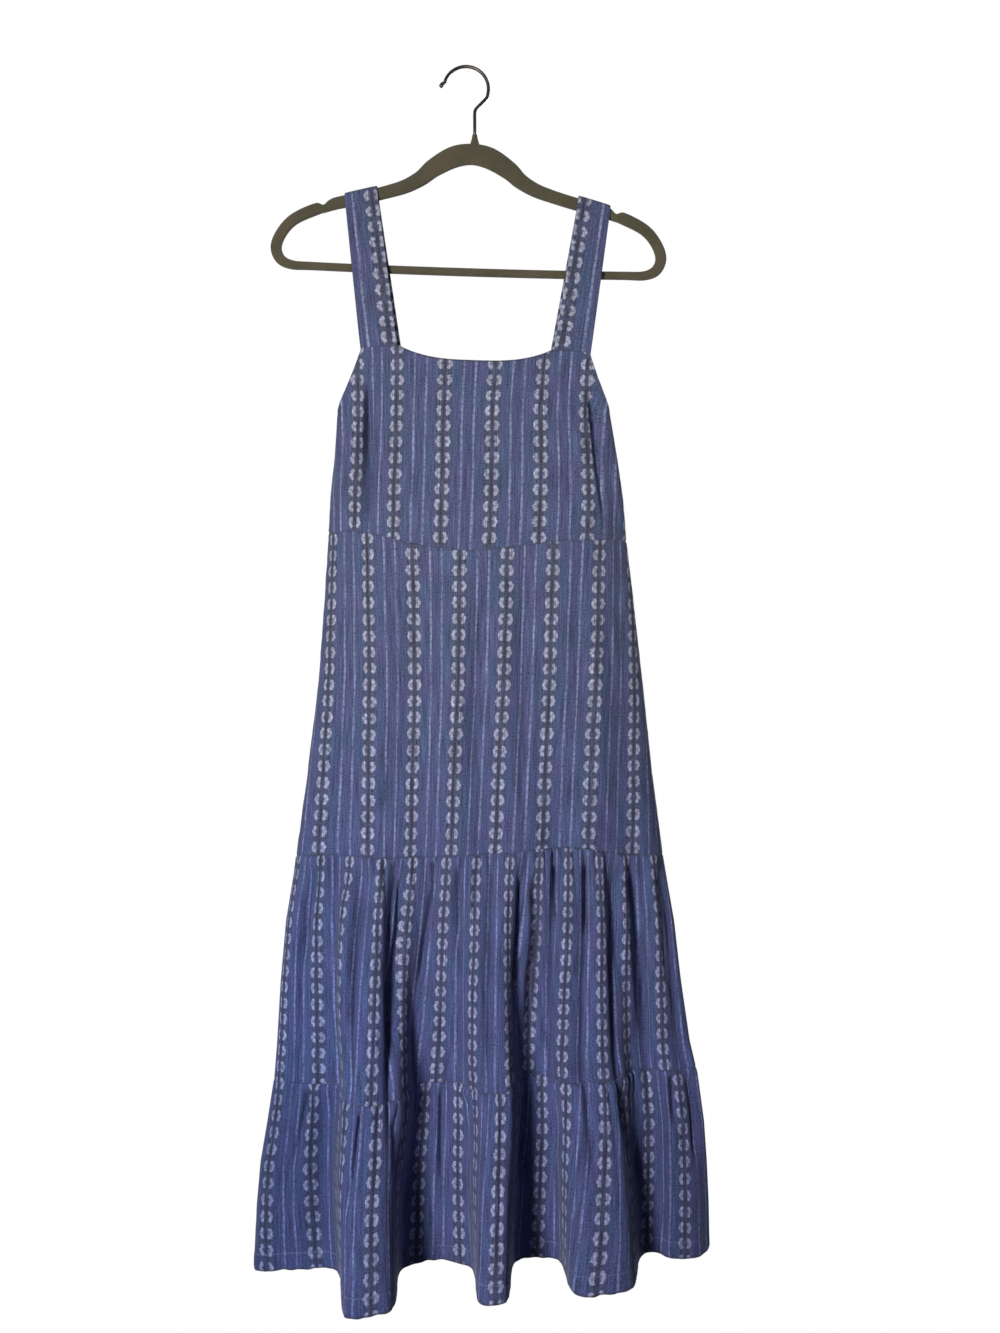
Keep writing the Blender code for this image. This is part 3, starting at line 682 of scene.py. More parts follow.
# Tiers: a row for each crest or valley, with its start on the upper seam, then its middle, half
# width and depth on the lower seam, the same three on the hem, and a lean that rounds the right
# shoulder more
tiers = {
    front: (
        (-162, -172, 31, 21, -183, 44, 35, 0.0),
        (-114, -96, 26, 88, -95, 24, 134, 0.07),
        (-52, -29, 20, 21, -31, 37, 31, 0.0),
        (16, 36, 16, 62, 31, 15, 112, 0.0),
        (70, 76, 12, 9, 79, 24, 15, 0.0),
        (118, 139, 30, 38, 147, 31, 93, 0.06),
        (176, 194, 10, 3, 206, 12, 6, 0.0),
        (200, 230, 14, 10, 242, 16, 18, 0.0),
    ),
    back: (
        (-160, -176, 24, 22, -186, 36, 32, 0.0),
        (-112, -114, 20, 56, -118, 18, 84, 0.04),
        (-66, -64, 18, 20, -62, 24, 26, 0.0),
        (-18, -8, 18, 60, -4, 16, 94, -0.04),
        (34, 42, 16, 18, 46, 22, 22, 0.0),
        (86, 98, 22, 54, 106, 20, 80, 0.05),
        (136, 156, 16, 16, 164, 20, 18, 0.0),
        (184, 210, 22, 26, 224, 26, 38, 0.0),
    ),
    "shoulder": 0.10,
    "columnCount": 560,
    "rowCount": 70,
    "upperGathers": 38,
    "lowerGathers": 50,
    "seeds": {("upper", front): 1, ("upper", back): 21, ("lower", front): 41, ("lower", back): 61},
    "crowd": 1.45,
    "lineSamples": 40,
    "steep": (0.25, 0.15, 0.65),  # least share of the shift on steep flanks, and the slopes between
    "foldWave": 1.5,
    "foldDepth": (2.0, 6.0),  # least and added by chance
    "foldWidth": (0.10, 0.10),
    "foldAside": 0.14,
    "seamFold": 0.7,
    "foldRise": 22.0,
    "foldBlend": 16.0,
    "seamRise": 1.5,
    "seamFade": 60.0,
    "hem": {
        "band": (0.7, 1.5),  # how far the turned hem stands out, and the ease of its edge
        "waves": (0.9, 7.0, 12.0),  # size, length along the hem, fade upwards
        "stitch": (1.0, 1.3),  # depth and half width of the stitch line
        "rough": (0.8, 9.0, 6.0),  # size, length along the hem, fade upwards
        "corner": (10.0, 8.0, 14.0),  # lift at the side seams, fade inwards, fade upwards
        "arch": (6.0, -28.0, 20.0, 25.0),  # lift in front, its place, half width, fade upwards
    },
}


def foldRing(side, level):
    # Smooth plan line through the shoulders and middle of each fold, and where the middles lie
    seamX, seamHalf, seamDepth, hemX, hemHalf, hemDepth, lean = np.array(tiers[side]).T[1:]
    x, half, depth = (seamX, seamHalf, seamDepth) if level == "lower" else (hemX, hemHalf, hemDepth)
    height = seams[level][-1][1]
    before = np.concatenate(([0.0], depth[:-1]))
    after = np.concatenate((depth[1:], [0.0]))
    soft = tiers["shoulder"]
    leftShoulder = np.column_stack((x - half, depth + (soft - lean) * (before - depth)))
    rightShoulder = np.column_stack((x + half, depth + (soft + lean) * (after - depth)))
    middle = np.column_stack((x, depth))
    folds = np.stack((leftShoulder, middle, rightShoulder), axis=1).reshape(-1, 2)
    rows = np.vstack(([(sideAt("left", height), 0.0)], folds, [(sideAt("right", height), 0.0)]))
    line = smoothLine(rows, rows[1] * (1, -1), rows[-2] * (1, -1), tiers["lineSamples"])
    middles = (2 + 3 * np.arange(len(x))) * tiers["lineSamples"]
    return line, np.concatenate(([0.0], arc(line)[middles], [arc(line)[-1]]))


def tierRings(side, share):
    # Plan points of the three tier rings at shares of the cloth, and their shares of each ring
    hem, hemKnots = foldRing(side, "hem")
    lower, lowerKnots = foldRing(side, "lower")
    upper = upperRing(side)
    starts = np.array(tiers[side])[:, 0]
    upperKnots = np.interp(starts, upper[:, 0], arc(upper))
    upperKnots = np.concatenate(([0.0], upperKnots, [arc(upper)[-1]]))
    rings = {"upper": (upper, upperKnots), "lower": (lower, lowerKnots), "hem": (hem, hemKnots)}
    made = {}
    for name, (line, knots) in rings.items():
        place = np.interp(share, hemKnots / hemKnots[-1], knots / knots[-1])
        made[name] = (atShares(line, place), place, arc(line)[-1])
    return made


def seamFolds(u, strength):
    # Folds that follow the stripes: a cosine over the repeat, less a bell of uneven depth, width and
    # place between each two flower pairs
    number = np.floor(u / repeat)
    phase = u / repeat - number
    depth = tiers["foldDepth"][0] + tiers["foldDepth"][1] * hashed(number, 6)
    narrow = tiers["foldWidth"][0] + tiers["foldWidth"][1] * hashed(number, 7)
    middle = 0.5 + tiers["foldAside"] * (hashed(number, 9) - 0.5)
    wave = tiers["foldWave"] * np.cos(2 * math.pi * phase)
    return strength * (wave - depth * bell(phase - middle, narrow))


def hemShift(along, fromBottom, seed):
    # What stands out at the hem: the turned band, small waves, less a bell along the stitch line
    hem = tiers["hem"]
    (out, ease), (deep, half) = hem["band"], hem["stitch"]
    size, long, fade = hem["waves"]
    band = easedBetween(fromBottom, cloth["stitchUp"], cloth["stitchUp"] - ease) * out
    waves = size * noise(along / long, seed + 5) * np.exp(-fromBottom / fade)
    return band + waves - deep * bell(fromBottom - cloth["stitchUp"], half)


def hemLift(side, along, offSides, x, fromBottom, seed):
    # How far the hem is lifted: a little by noise, more at the side seams, and by a bell in front
    hem = tiers["hem"]
    size, long, fade = hem["rough"]
    lift = size * noise(along / long, seed + 6) * np.exp(-fromBottom / fade)
    size, inwards, fade = hem["corner"]
    lift = lift + size * np.exp(-offSides / inwards) * np.exp(-fromBottom / fade)
    size, place, half, fade = hem["arch"]
    if side == front:
        lift = lift + size * bell(x - place, half) * np.exp(-fromBottom / fade)
    return lift


def makeTier(key, side):
    # Rows between the tier's two rings, each point moved along its normal by gathers, creases, folds
    # that follow the stripes and the seams' grooves
    names = {"upper": ("upper", "lower"), "lower": ("lower", "hem")}[key]
    share = np.linspace(0, 1, tiers["columnCount"])
    v = edgeRows(tiers["rowCount"], tiers["crowd"])[:, None]
    rings = tierRings(side, share)
    (topPlan, topPlace, topArc), (bottomPlan, bottomPlace, bottomArc) = (rings[name] for name in names)
    top, bottom = seamHeight(names[0], side, topPlace), seamHeight(names[1], side, bottomPlace)
    plan, level = hung(topPlan, bottomPlan, top, bottom, share, v)
    u = stripeAcross(key, side, topPlace * topArc, bottomPlace * bottomArc, v, topArc, bottomArc)
    fromTop, fromBottom = top - level, level - bottom
    seed = tiers["seeds"][key, side]
    shift = gathers(share, tiers[key + "Gathers"], fromTop, seed) + crinkled(u, level)
    shift = shift + creaseField((key, side), plan[..., 0], level)
    seamPlace, seamArc = rings["lower"][1:]
    seamU = stripeAcross("upper", side, 0, seamPlace * seamArc, 1.0, 1.0, seamArc)
    shared = seamFolds(seamU, tiers["seamFold"])  # both tiers have this shape on the seam between them
    if key == "upper":
        edge = fromBottom + cloth["farEdge"]
        inner = seamFolds(u, 1.0) * (1 - np.exp(-fromTop / tiers["foldRise"]))
        blend = np.exp(-fromBottom / tiers["foldBlend"])
        shift = (shift + inner) * (1 - blend) + shared * blend
        shift = shift + puckers(share, tiers["lowerGathers"], tiers["seeds"]["lower", front], fromBottom)
        grooves = rolled(fromTop, fromBottom, share, bottomArc)
    else:
        edge = fromBottom
        shift = shift * (1 - np.exp(-fromTop / tiers["seamRise"]))
        shift = shift + shared * np.exp(-fromTop / tiers["seamFade"])
        shift = shift + hemShift(share * bottomArc, fromBottom, seed)
        grooves = rolled(fromTop, cloth["farEdge"], share, bottomArc)
        offSides = fromSides(share, bottomArc)
        level = level + hemLift(side, share * bottomArc, offSides, plan[..., 0], fromBottom, seed)
    normal = outwardOf(plan)
    least, low, high = tiers["steep"]
    steep = least + (1 - least) * easedBetween(np.abs(normal[..., 1]), low, high)
    shift = shift * quietSides(share, bottomArc) * steep + grooves
    points = solidPoints(plan + normal * shift[..., None], level, side)
    rows = level - seams[names[0]][0][1]
    return shell(nameOf("tier_" + key, side), side, points, cloth["thick"], u, rows, edge)


# Hanger, from its middle outwards: distance across and down from its top, then the reach of the
# frame above and below that centre line
hanger = {
    "rows": (
        (0.0, 12.2, 11.8, 11.6), (20.0, 15.8, 11.9, 11.9), (42.0, 28.5, 10.3, 10.3),
        (56.0, 40.6, 8.6, 8.6), (73.0, 50.2, 7.6, 7.6), (93.0, 57.0, 7.0, 7.0),
        (121.0, 64.8, 6.8, 6.8), (150.0, 71.8, 6.6, 6.6), (157.5, 74.0, 5.0, 6.5),
        (164.0, 76.0, 2.0, 6.5), (171.0, 78.4, 6.4, 6.4), (196.0, 90.5, 6.3, 6.2),
        (209.5, 105.0, 6.1, 6.0), (216.0, 122.0, 6.3, 6.1), (211.5, 135.5, 5.9, 5.8),
        (199.0, 142.0, 5.0, 4.9), (176.0, 143.0, 4.4, 4.4), (90.0, 144.2, 4.4, 4.4),
        (0.0, 144.6, 4.4, 4.4),
    ),
    "top": (6.7, -84.9),
    "roll": math.radians(-1.8),
    "thick": 6.0,
    "samples": 14,
    "around": 28,
    "sideRound": 0.6,
    "faceRound": 0.5,
    "stem": 9.8,
    "collarFoot": (6.4, 2.9),
    "collarHead": (2.7, 2.3),
    "collarTall": 11.0,
    "collarSunk": 3.0,
    "collarRows": 24,
    "collarAround": 32,
    "collarFlare": 1.7,
    "collarRound": 0.06,  # share of the height over which the head closes
}


def hangerEdges():
    # Outer and inner edge of the flat outline: the centre line moved by its reach both ways
    half = np.array(hanger["rows"]) * (1, -1, 1, 1)
    stations = np.vstack((half, half[1:-1][::-1] * (-1, 1, 1, 1)))
    whole = np.vstack((stations, stations[:1]))
    line = smoothLine(whole, stations[-1], stations[1], hanger["samples"])[:-1]
    ahead = np.roll(line[:, :2], -1, axis=0) - np.roll(line[:, :2], 1, axis=0)
    ahead /= np.linalg.norm(ahead, axis=1)[:, None]
    away = np.column_stack((-ahead[:, 1], ahead[:, 0]))
    cosine, sine = math.cos(hanger["roll"]), math.sin(hanger["roll"])
    turn = np.array(((cosine, -sine), (sine, cosine)))
    outer = (line[:, :2] + away * line[:, 2:3]) @ turn.T + hanger["top"]
    inner = (line[:, :2] - away * line[:, 3:4]) @ turn.T + hanger["top"]
    return outer, inner


def makeHanger():
    # A rounded section carried round the closed outline, its depth a superellipse
    outer, inner = hangerEdges()
    angle = np.linspace(0, 2 * math.pi, hanger["around"], endpoint=False)
    share = 0.5 - 0.5 * rounded(np.cos(angle), hanger["sideRound"])
    deep = rounded(np.sin(angle), hanger["faceRound"]) * hanger["thick"] / 2
    flat = outer[:, None] + (inner - outer)[:, None] * share[None, :, None]
    rings = np.stack((flat[..., 0], np.broadcast_to(deep, flat.shape[:2]), flat[..., 1]), axis=-1)
    return outsideOut(meshOf("hangerFrame", rings.reshape(-1, 3), sweep(rings, True)))


def makeCollar():
    # A short cone with a flared foot, oval in plan, closed at both ends by a pole
    t = np.linspace(0, 1, hanger["collarRows"])[:, None]
    angle = np.linspace(0, 2 * math.pi, hanger["collarAround"], endpoint=False)[None]
    flare = (1 - t) ** hanger["collarFlare"]
    head, foot = np.array(hanger["collarHead"]), np.array(hanger["collarFoot"])
    wide, deep = (head[i] + (foot[i] - head[i]) * flare for i in (0, 1))
    ends = np.sqrt(np.clip((1 - t) / hanger["collarRound"], 0, 1))
    ends[0] = 0.0
    z = hanger["top"][1] - hanger["collarSunk"] + (hanger["collarTall"] + hanger["collarSunk"]) * t
    x = hanger["stem"] + wide * ends * np.cos(angle)
    y = deep * ends * np.sin(angle)
    rings = np.stack((x, y, np.broadcast_to(z, x.shape)), axis=-1)
    return outsideOut(meshOf("hangerCollar", rings.reshape(-1, 3), sweep(rings, False)))


hook = {
    "wire": 1.8,  # radius
    "loop": 25.2,
    "ends": (164.0, -24.0),  # degrees at which the round part starts and stops
    "loopPoints": 19,
    "stem": 9.8,
    "stemTop": -62.0,
    "sunk": 2.0,  # into the collar
    "bend": ((13.8, -43.2), (10.6, -47.0), (9.8, -51.0)),
    "tip": ((-27.6, -19.6), (-26.6, -17.4)),
    "ball": 2.5,
    "ballRows": 10,
    "samples": 8,
    "around": 20,
}


def makeHook():
    # A round wire carried along loop and stem; its radius swells to a ball at the tip
    start, stop = np.radians(hook["ends"])
    angle = np.linspace(start, stop, hook["loopPoints"])
    loop = hook["loop"] * np.column_stack((np.cos(angle), np.sin(angle))) + (0, hook["wire"] - hook["loop"])
    foot = hanger["top"][1] + hanger["collarTall"] - hook["sunk"]
    stem = ((hook["stem"], hook["stemTop"]), (hook["stem"], foot))
    knots = np.vstack((hook["tip"], loop, hook["bend"], stem))
    path = smoothLine(knots, 2 * knots[0] - knots[1], 2 * knots[-1] - knots[-2], hook["samples"])
    run = arc(path)
    ahead = np.gradient(path, axis=0)
    ahead /= np.linalg.norm(ahead, axis=1)[:, None]
    away = np.column_stack((-ahead[:, 1], ahead[:, 0]))
    extra = np.linspace(-hook["ball"], 0, hook["ballRows"], endpoint=False)
    path = np.vstack((path[0] + ahead[0] * extra[:, None], path))
    away = np.vstack((np.tile(away[0], (hook["ballRows"], 1)), away))
    run = np.concatenate((extra, run))
    ball = np.sqrt(np.clip(hook["ball"] ** 2 - run**2, 0, None))
    radius = np.where(run < 0, ball, np.maximum(hook["wire"], ball))
    radius[-1] = 0.0
    turn = np.linspace(0, 2 * math.pi, hook["around"], endpoint=False)
    flat = path[:, None] + away[:, None] * (radius[:, None] * np.cos(turn))[..., None]
    rings = np.stack((flat[..., 0], radius[:, None] * np.sin(turn), flat[..., 1]), axis=-1)
    return outsideOut(meshOf("hangerHook", rings.reshape(-1, 3), sweep(rings, False)))


# Straps: a soft flat band from the front bodice over the hanger arm to the back bodice
straps = {
    "corners": {
        (front, "left"): (-116.5, -75.0),
        (front, "right"): (138.5, 97.0),
        (back, "left"): (-112.5, -72.0),
        (back, "right"): (133.5, 93.0),
    },
    "tops": {"left": (-136.0, -99.5), "right": (162.0, 126.0)},
    "thick": 2.0,
    "sideRound": 0.35,
    "faceRound": 0.6,
    "room": 0.5,  # between the strap and the arm
    "lift": 0.2,
    "ease": 1.3,
    "waves": (0.5, 9.0, 2.5),  # size, and how many along and across
    "rows": 90,
    "overRows": 24,
    "around": 44,
    "pairFromInside": 6.5,  # the flower pair's place in from the inner edge
    "tuckDown": 9.0,  # the ends run behind the bodice's top edge
    "tuckIn": 2.6,
    "tuckLong": 0.14,  # as a share of the strap's half
}


def strapCrest(hand, across):
    # The straight line on which a strap rests, just clear of the arm's top edge
    edge = hangerEdges()[0]
    low, high = sorted(straps["tops"][hand])
    middle = hanger["top"][1] - hanger["rows"][-1][1] / 2
    x, z = edge[(edge[:, 1] > middle) & (edge[:, 0] > low) & (edge[:, 0] < high)].T
    slope = (z[-1] - z[0]) / (x[-1] - x[0])
    return slope * across + np.max(z - slope * x)


def strapHalf(hand, side, wide, reach, topX, topZ, over):
    # Rows from the tucked foot up to the arm, blended straight across and by a power in depth, with
    # small waves of noise
    t = np.linspace(0, 1, straps["rows"])[:, None]
    baseX = np.interp(wide, (0, 1), straps["corners"][side, hand])
    depths = named(bodice, "front" if side == front else "back")
    base = np.interp(-bodice["strapSeam"]["left"], -named(bodice, "height"), depths)
    tucked = straps["tuckIn"] * (1 - easedBetween(t, 0, straps["tuckLong"]))
    baseY = base - (cloth["thick"] + straps["thick"]) / 2 + reach - tucked
    size, along, across = straps["waves"]
    lift = size * noiseField(t * along + side, wide * across, 13) * np.sin(math.pi * t)
    y = baseY + (over - baseY) * t ** straps["ease"] + np.maximum(lift, 0)
    x = baseX + (topX - baseX) * t
    foot = bodice["strapSeam"][hand] - straps["tuckDown"]
    z = foot + (topZ - foot) * t
    return np.stack((x, side * y, np.broadcast_to(z, x.shape)), axis=-1)


def makeStrap(hand):
    # A rounded flat section carried up the front, round the arm in half a circle and down the back
    count = straps["around"]
    angle = np.linspace(0, 2 * math.pi, count, endpoint=False)
    wide = 0.5 + 0.5 * rounded(np.cos(angle), straps["sideRound"])
    reach = straps["thick"] * (0.5 + 0.5 * rounded(np.sin(angle), straps["faceRound"]))
    topX = np.interp(wide, (0, 1), straps["tops"][hand])
    topZ = strapCrest(hand, topX) - hanger["thick"] / 2 + straps["lift"]
    over = hanger["thick"] / 2 + straps["room"] + reach
    up, down = (strapHalf(hand, side, wide, reach, topX, topZ, over) for side in (front, back))
    turn = np.linspace(0, math.pi, straps["overRows"])[1:-1, None]
    bridgeX = np.broadcast_to(topX, (len(turn), count))
    bridge = np.stack((bridgeX, -over * np.cos(turn), topZ + over * np.sin(turn)), axis=-1)
    rings = np.concatenate((up, bridge, down[::-1]))
    along = arc(rings.mean(axis=1))
    width = abs(straps["tops"][hand][1] - straps["tops"][hand][0])
    mirror = 1 if hand == "left" else -1
    u = np.broadcast_to((straps["pairFromInside"] - width * (1 - wide)) * mirror, rings.shape[:2])
    first = np.arange(count)
    last = first + (len(rings) - 1) * count
    half = count // 2  # each end is closed by a row of quads from one edge to the other
    caps = [
        np.column_stack((ring[: half - 1], ring[1:half], ring[::-1][1:half], ring[::-1][: half - 1]))
        for ring in (first, last)
    ]
    points = rings.reshape(-1, 3)
    uv = np.column_stack((u.ravel(), np.repeat(along, count)))
    faces = np.vstack((sweep(rings, False), *caps))
    edge = np.full(len(points), cloth["farEdge"])
    return outsideOut(meshOf("strap" + hand.capitalize(), points, faces, uv, edge))


# Materials
def mathNode(tree, kind, *values):
    # One math node; a value is a number or another node's output
    node = tree.nodes.new("ShaderNodeMath")
    node.operation = kind
    for socket, value in zip(node.inputs, values):
        if isinstance(value, bpy.types.NodeSocket):
            tree.links.new(value, socket)
        else:
            socket.default_value = value
    return node.outputs[0]


def ramp(tree, value, start, stop):
    # Smooth step from 0 at start to 1 at stop
    node = tree.nodes.new("ShaderNodeMapRange")
    node.interpolation_type = "SMOOTHSTEP"
    tree.links.new(value, node.inputs["Value"])
    node.inputs["From Min"].default_value = start
    node.inputs["From Max"].default_value = stop
    return node.outputs["Result"]


def mixed(tree, factor, first, second):
    # Colour from the first to the second by the factor
    node = tree.nodes.new("ShaderNodeMix")
    node.data_type = "RGBA"
    for socket, value in ((node.inputs[0], factor), (node.inputs[6], first), (node.inputs[7], second)):
        if isinstance(value, bpy.types.NodeSocket):
            tree.links.new(value, socket)
        else:
            socket.default_value = (*value, 1.0)
    return node.outputs[2]


def scaled(tree, colour, factor):
    # Colour times a factor
    node = tree.nodes.new("ShaderNodeVectorMath")
    node.operation = "SCALE"
    tree.links.new(colour, node.inputs[0])
    tree.links.new(factor, node.inputs["Scale"])
    return node.outputs[0]


def multiplied(tree, first, second):
    # Colour times colour
    node = tree.nodes.new("ShaderNodeVectorMath")
    node.operation = "MULTIPLY"
    tree.links.new(first, node.inputs[0])
    tree.links.new(second, node.inputs[1])
    return node.outputs[0]


def principled(name, finish):
    # A new material with its colour, roughness, metal, sheen and gloss from its own dictionary
    made = bpy.data.materials.new(name)
    made.use_nodes = True
    shader = made.node_tree.nodes["Principled BSDF"]
    shader.inputs["Base Color"].default_value = (*finish["ground"], 1.0)
    shader.inputs["Roughness"].default_value = finish["roughness"]
    shader.inputs["Metallic"].default_value = finish.get("metal", 0.0)
    shader.inputs["Sheen Weight"].default_value = finish.get("sheen", 0.0)
    shader.inputs["Sheen Roughness"].default_value = finish.get("sheenRough", 0.5)
    shader.inputs["Specular IOR Level"].default_value = finish.get("gloss", 0.5)
    return made, made.node_tree, shader


def bumped(tree, shader, height, strength, deep):
    # Fine relief: the height in shares of a depth turns the normal
    bump = tree.nodes.new("ShaderNodeBump")
    bump.inputs["Strength"].default_value = strength
    bump.inputs["Distance"].default_value = deep * mm
    tree.links.new(height, bump.inputs["Height"])
    tree.links.new(bump.outputs[0], shader.inputs["Normal"])


# Woven cotton: colours, then the pattern in millimetres from the middle of a flower row
weave = {
    "ground": (0.057, 0.080, 0.158),
    "violet": (0.068, 0.074, 0.162),
    "flower": (0.34, 0.35, 0.45),
    "thread": (0.20, 0.22, 0.36),
    # the pattern's dark threads; the same colour paints the shadow line along turned edges
    "dark": (0.036, 0.034, 0.050),
    "band": (0.063, 0.070, 0.110),
    "between": (0.063, 0.066, 0.148),
    "roughness": 0.86,
    "sheen": 0.12,
    "gloss": 0.2,
    "swing": {"wobble": 1.6, "ragged": 2.6, "bowed": 6.0},  # how far each grain moves the pattern
    "pitch": 17.8,  # from flower to flower
    "lobe": (4.9, 3.5, 2.5, 2.7, 0.22),  # place beside the row's middle and up, half sizes, lean
    "petal": (7.2, 1.6, 2.6),  # place beside the row's middle, half sizes
    "body": (5.7, 2.9, 5.0),
    "notch": (2.7, 1.5, 1.1),
    "lobeSoft": (1.35, 0.35),  # an oval's measure where it starts and where it is full
    "ovalSoft": (1.35, 0.4),
    "full": 0.97,
    "dim": 0.58,  # the body of a flower
    "cut": 0.8,  # how much a notch takes away
    "wear": (1.3, 0.18),
    "lineAt": 21.4,
    "lineEdges": (1.875, 0.625),  # distances at which a mask starts and is full
    "lineFaint": (0.6, 0.3),  # added by chance, and least
    "dashPitch": 9.0,
    "dashEdges": (3.7, 2.3),
    "dashTone": (0.45, 0.55),
    "darkEdges": (1.95, 0.52),
    "bandEdges": (10.0, 6.0),
    "betweenEdges": (21.25, 24.25),
    "shares": {"band": 0.6, "knots": 0.55, "between": 0.6, "dark": 0.85, "stitch": 0.35, "turned": 0.6},
    "streakTone": 2.2,
    "crinkleShading": (1.8, -1.0),  # how much the painted light and shade of the crinkle counts, and what both tones start from
    "threads": (8.4, 0.03),  # of the bump: turns for each millimetre, height
    "relief": {"crinkle": 0.55, "streaks": 0.18, "flower": 0.22, "line": 0.10, "stitch": 0.25},
    "reliefStrength": 0.8,
}

# Stitches of the hem, with gaps, and the painted shadow line along a turned edge: distances in millimetres
seamMarks = {"pitch": 3.2, "gap": (1.35, 1.0), "stitch": (0.7, 0.35), "turned": (2.6, 1.2)}

# Each grain of the cloth: how wide and tall its spots are in millimetres, its detail and its seed
grains = {
    "wobble": (9.0, 14.0, 1.0, 4.0),
    "ragged": (2.3, 2.6, 1.0, 31.0),
    "bowed": (60.0, 80.0, 1.0, 9.0),
    "notch": (11.0, 13.0, 1.0, 15.0),
    "line": (12.0, 34.0, 1.0, 25.0),
    "dark": (16.0, 22.0, 2.0, 2.0),
    "between": (30.0, 50.0, 1.0, 12.0),
    "knots": (2.6, 2.6, 2.0, 21.0),
    "patches": (34.0, 48.0, 2.0, 7.0),
    "streaks": (1.5, 42.0, 3.0, 1.0),
    "crinkle": (2.4, 1.9, 3.0, 3.0),
    "worn": (3.2, 3.6, 2.0, 6.0),
}
breaks = {  # where a grain starts to show a mask, and where it shows it whole
    "notch": (0.3, 0.6),
    "line": (0.28, 0.62),
    "dark": (0.34, 0.58),
    "between": (0.2, 0.6),
    "knots": (0.48, 0.66),
    "patches": (0.35, 0.65),
}

# The light in the photo: tint of the cloth towards the hem, by height and across, and at the two
# lower corners, all in metres
shade = {
    "left": (0.74, 0.85, 1.18),
    "right": (0.86, 0.89, 1.14),
    "across": (-0.17, -0.05),
    "down": (-0.55, -1.15),
    "corners": (0.76, 0.76, 0.78),
    "cornerDown": (-1.10, -1.20),
    "cornerOut": (0.13, 0.22),  # from the middle
    "middle": 0.03,
}


def grain(tree, u, v, name):
    # Noise on the cloth whose spots have the size given in the table
    wide, tall, detail, seed = grains[name]
    place = tree.nodes.new("ShaderNodeCombineXYZ")
    tree.links.new(mathNode(tree, "DIVIDE", u, wide), place.inputs[0])
    tree.links.new(mathNode(tree, "DIVIDE", v, tall), place.inputs[1])
    place.inputs[2].default_value = seed
    node = tree.nodes.new("ShaderNodeTexNoise")
    node.inputs["Scale"].default_value = 1.0
    node.inputs["Detail"].default_value = detail
    tree.links.new(place.outputs[0], node.inputs["Vector"])
    return node.outputs["Fac"]


def swung(tree, spots, name):
    # A grain from 0 to 1 turned into minus half to plus half its swing
    size = weave["swing"][name]
    return mathNode(tree, "MULTIPLY_ADD", spots(name), size, -size / 2)


def broken(tree, spots, name):
    # A grain with a soft limit, which breaks a mask into patches
    return ramp(tree, spots(name), *breaks[name])


def offMultiple(tree, value, step):
    # Distance from the nearest multiple of the step
    return mathNode(tree, "ABSOLUTE", mathNode(tree, "WRAP", value, step / 2, -step / 2))


def oval(tree, x, y, wide, tall):
    # (x / wide) squared plus (y / tall) squared
    across = mathNode(tree, "POWER", mathNode(tree, "ABSOLUTE", mathNode(tree, "DIVIDE", x, wide)), 2.0)
    along = mathNode(tree, "POWER", mathNode(tree, "ABSOLUTE", mathNode(tree, "DIVIDE", y, tall)), 2.0)
    return mathNode(tree, "ADD", across, along)


def flowerMask(tree, spots, out, row):
    # Half flowers on both sides of a row's middle: a leaning lobe above and below, a petal, a dim
    # body, less a notch near the middle line; all soft ovals with ragged edges
    calc = partial(mathNode, tree)
    ragged = swung(tree, spots, "ragged")
    row = calc("ADD", row, ragged)
    rough = calc("ADD", out, ragged)
    lobeAt, lobeUp, lobeWide, lobeTall, lean = weave["lobe"]
    rise = calc("SUBTRACT", row, lobeUp)
    lobeX = calc("MULTIPLY_ADD", rise, lean, calc("SUBTRACT", rough, lobeAt))
    lobe = ramp(tree, oval(tree, lobeX, rise, lobeWide, lobeTall), *weave["lobeSoft"])
    ovals = []
    for part in ("petal", "body", "notch"):
        at, wide, tall = weave[part]
        shape = oval(tree, calc("SUBTRACT", rough, at), row, wide, tall)
        ovals.append(ramp(tree, shape, *weave["ovalSoft"]))
    petal, body, notch = ovals
    flower = calc("MULTIPLY", calc("MAXIMUM", lobe, petal), weave["full"])
    flower = calc("MAXIMUM", flower, calc("MULTIPLY", body, weave["dim"]))
    notch = calc("MULTIPLY", notch, broken(tree, spots, "notch"))
    return calc("MULTIPLY", flower, calc("MULTIPLY_ADD", notch, -weave["cut"], 1.0))


def dottedLine(tree, spots, out, weftAt):
    # Thin light lines beside the flower rows, dashed and faint in places
    calc = partial(mathNode, tree)
    offLine = calc("ABSOLUTE", calc("SUBTRACT", out, weave["lineAt"]))
    line = ramp(tree, offLine, *weave["lineEdges"])
    dash = ramp(tree, offMultiple(tree, weftAt, weave["dashPitch"]), *weave["dashEdges"])
    faint = broken(tree, spots, "line")
    line = calc("MULTIPLY", line, calc("MULTIPLY_ADD", faint, *weave["lineFaint"]))
    return calc("MULTIPLY", line, calc("MULTIPLY_ADD", dash, *weave["dashTone"]))


def groundColour(tree, spots, out):
    # Two blues in soft patches, a greyer band with dark knots along the flower rows, violet between
    # them and a broken dark line in each row's middle
    calc = partial(mathNode, tree)
    band = ramp(tree, out, *weave["bandEdges"])
    masks = {
        "band": (band, "band"),
        "knots": (calc("MULTIPLY", broken(tree, spots, "knots"), band), "dark"),
    }
    for name in ("between", "dark"):
        mask = ramp(tree, out, *weave[name + "Edges"])
        masks[name] = (calc("MULTIPLY", mask, broken(tree, spots, name)), name)
    colour = mixed(tree, broken(tree, spots, "patches"), weave["ground"], weave["violet"])
    for name, (mask, tint) in masks.items():
        colour = mixed(tree, calc("MULTIPLY", mask, weave["shares"][name]), colour, weave[tint])
    return colour


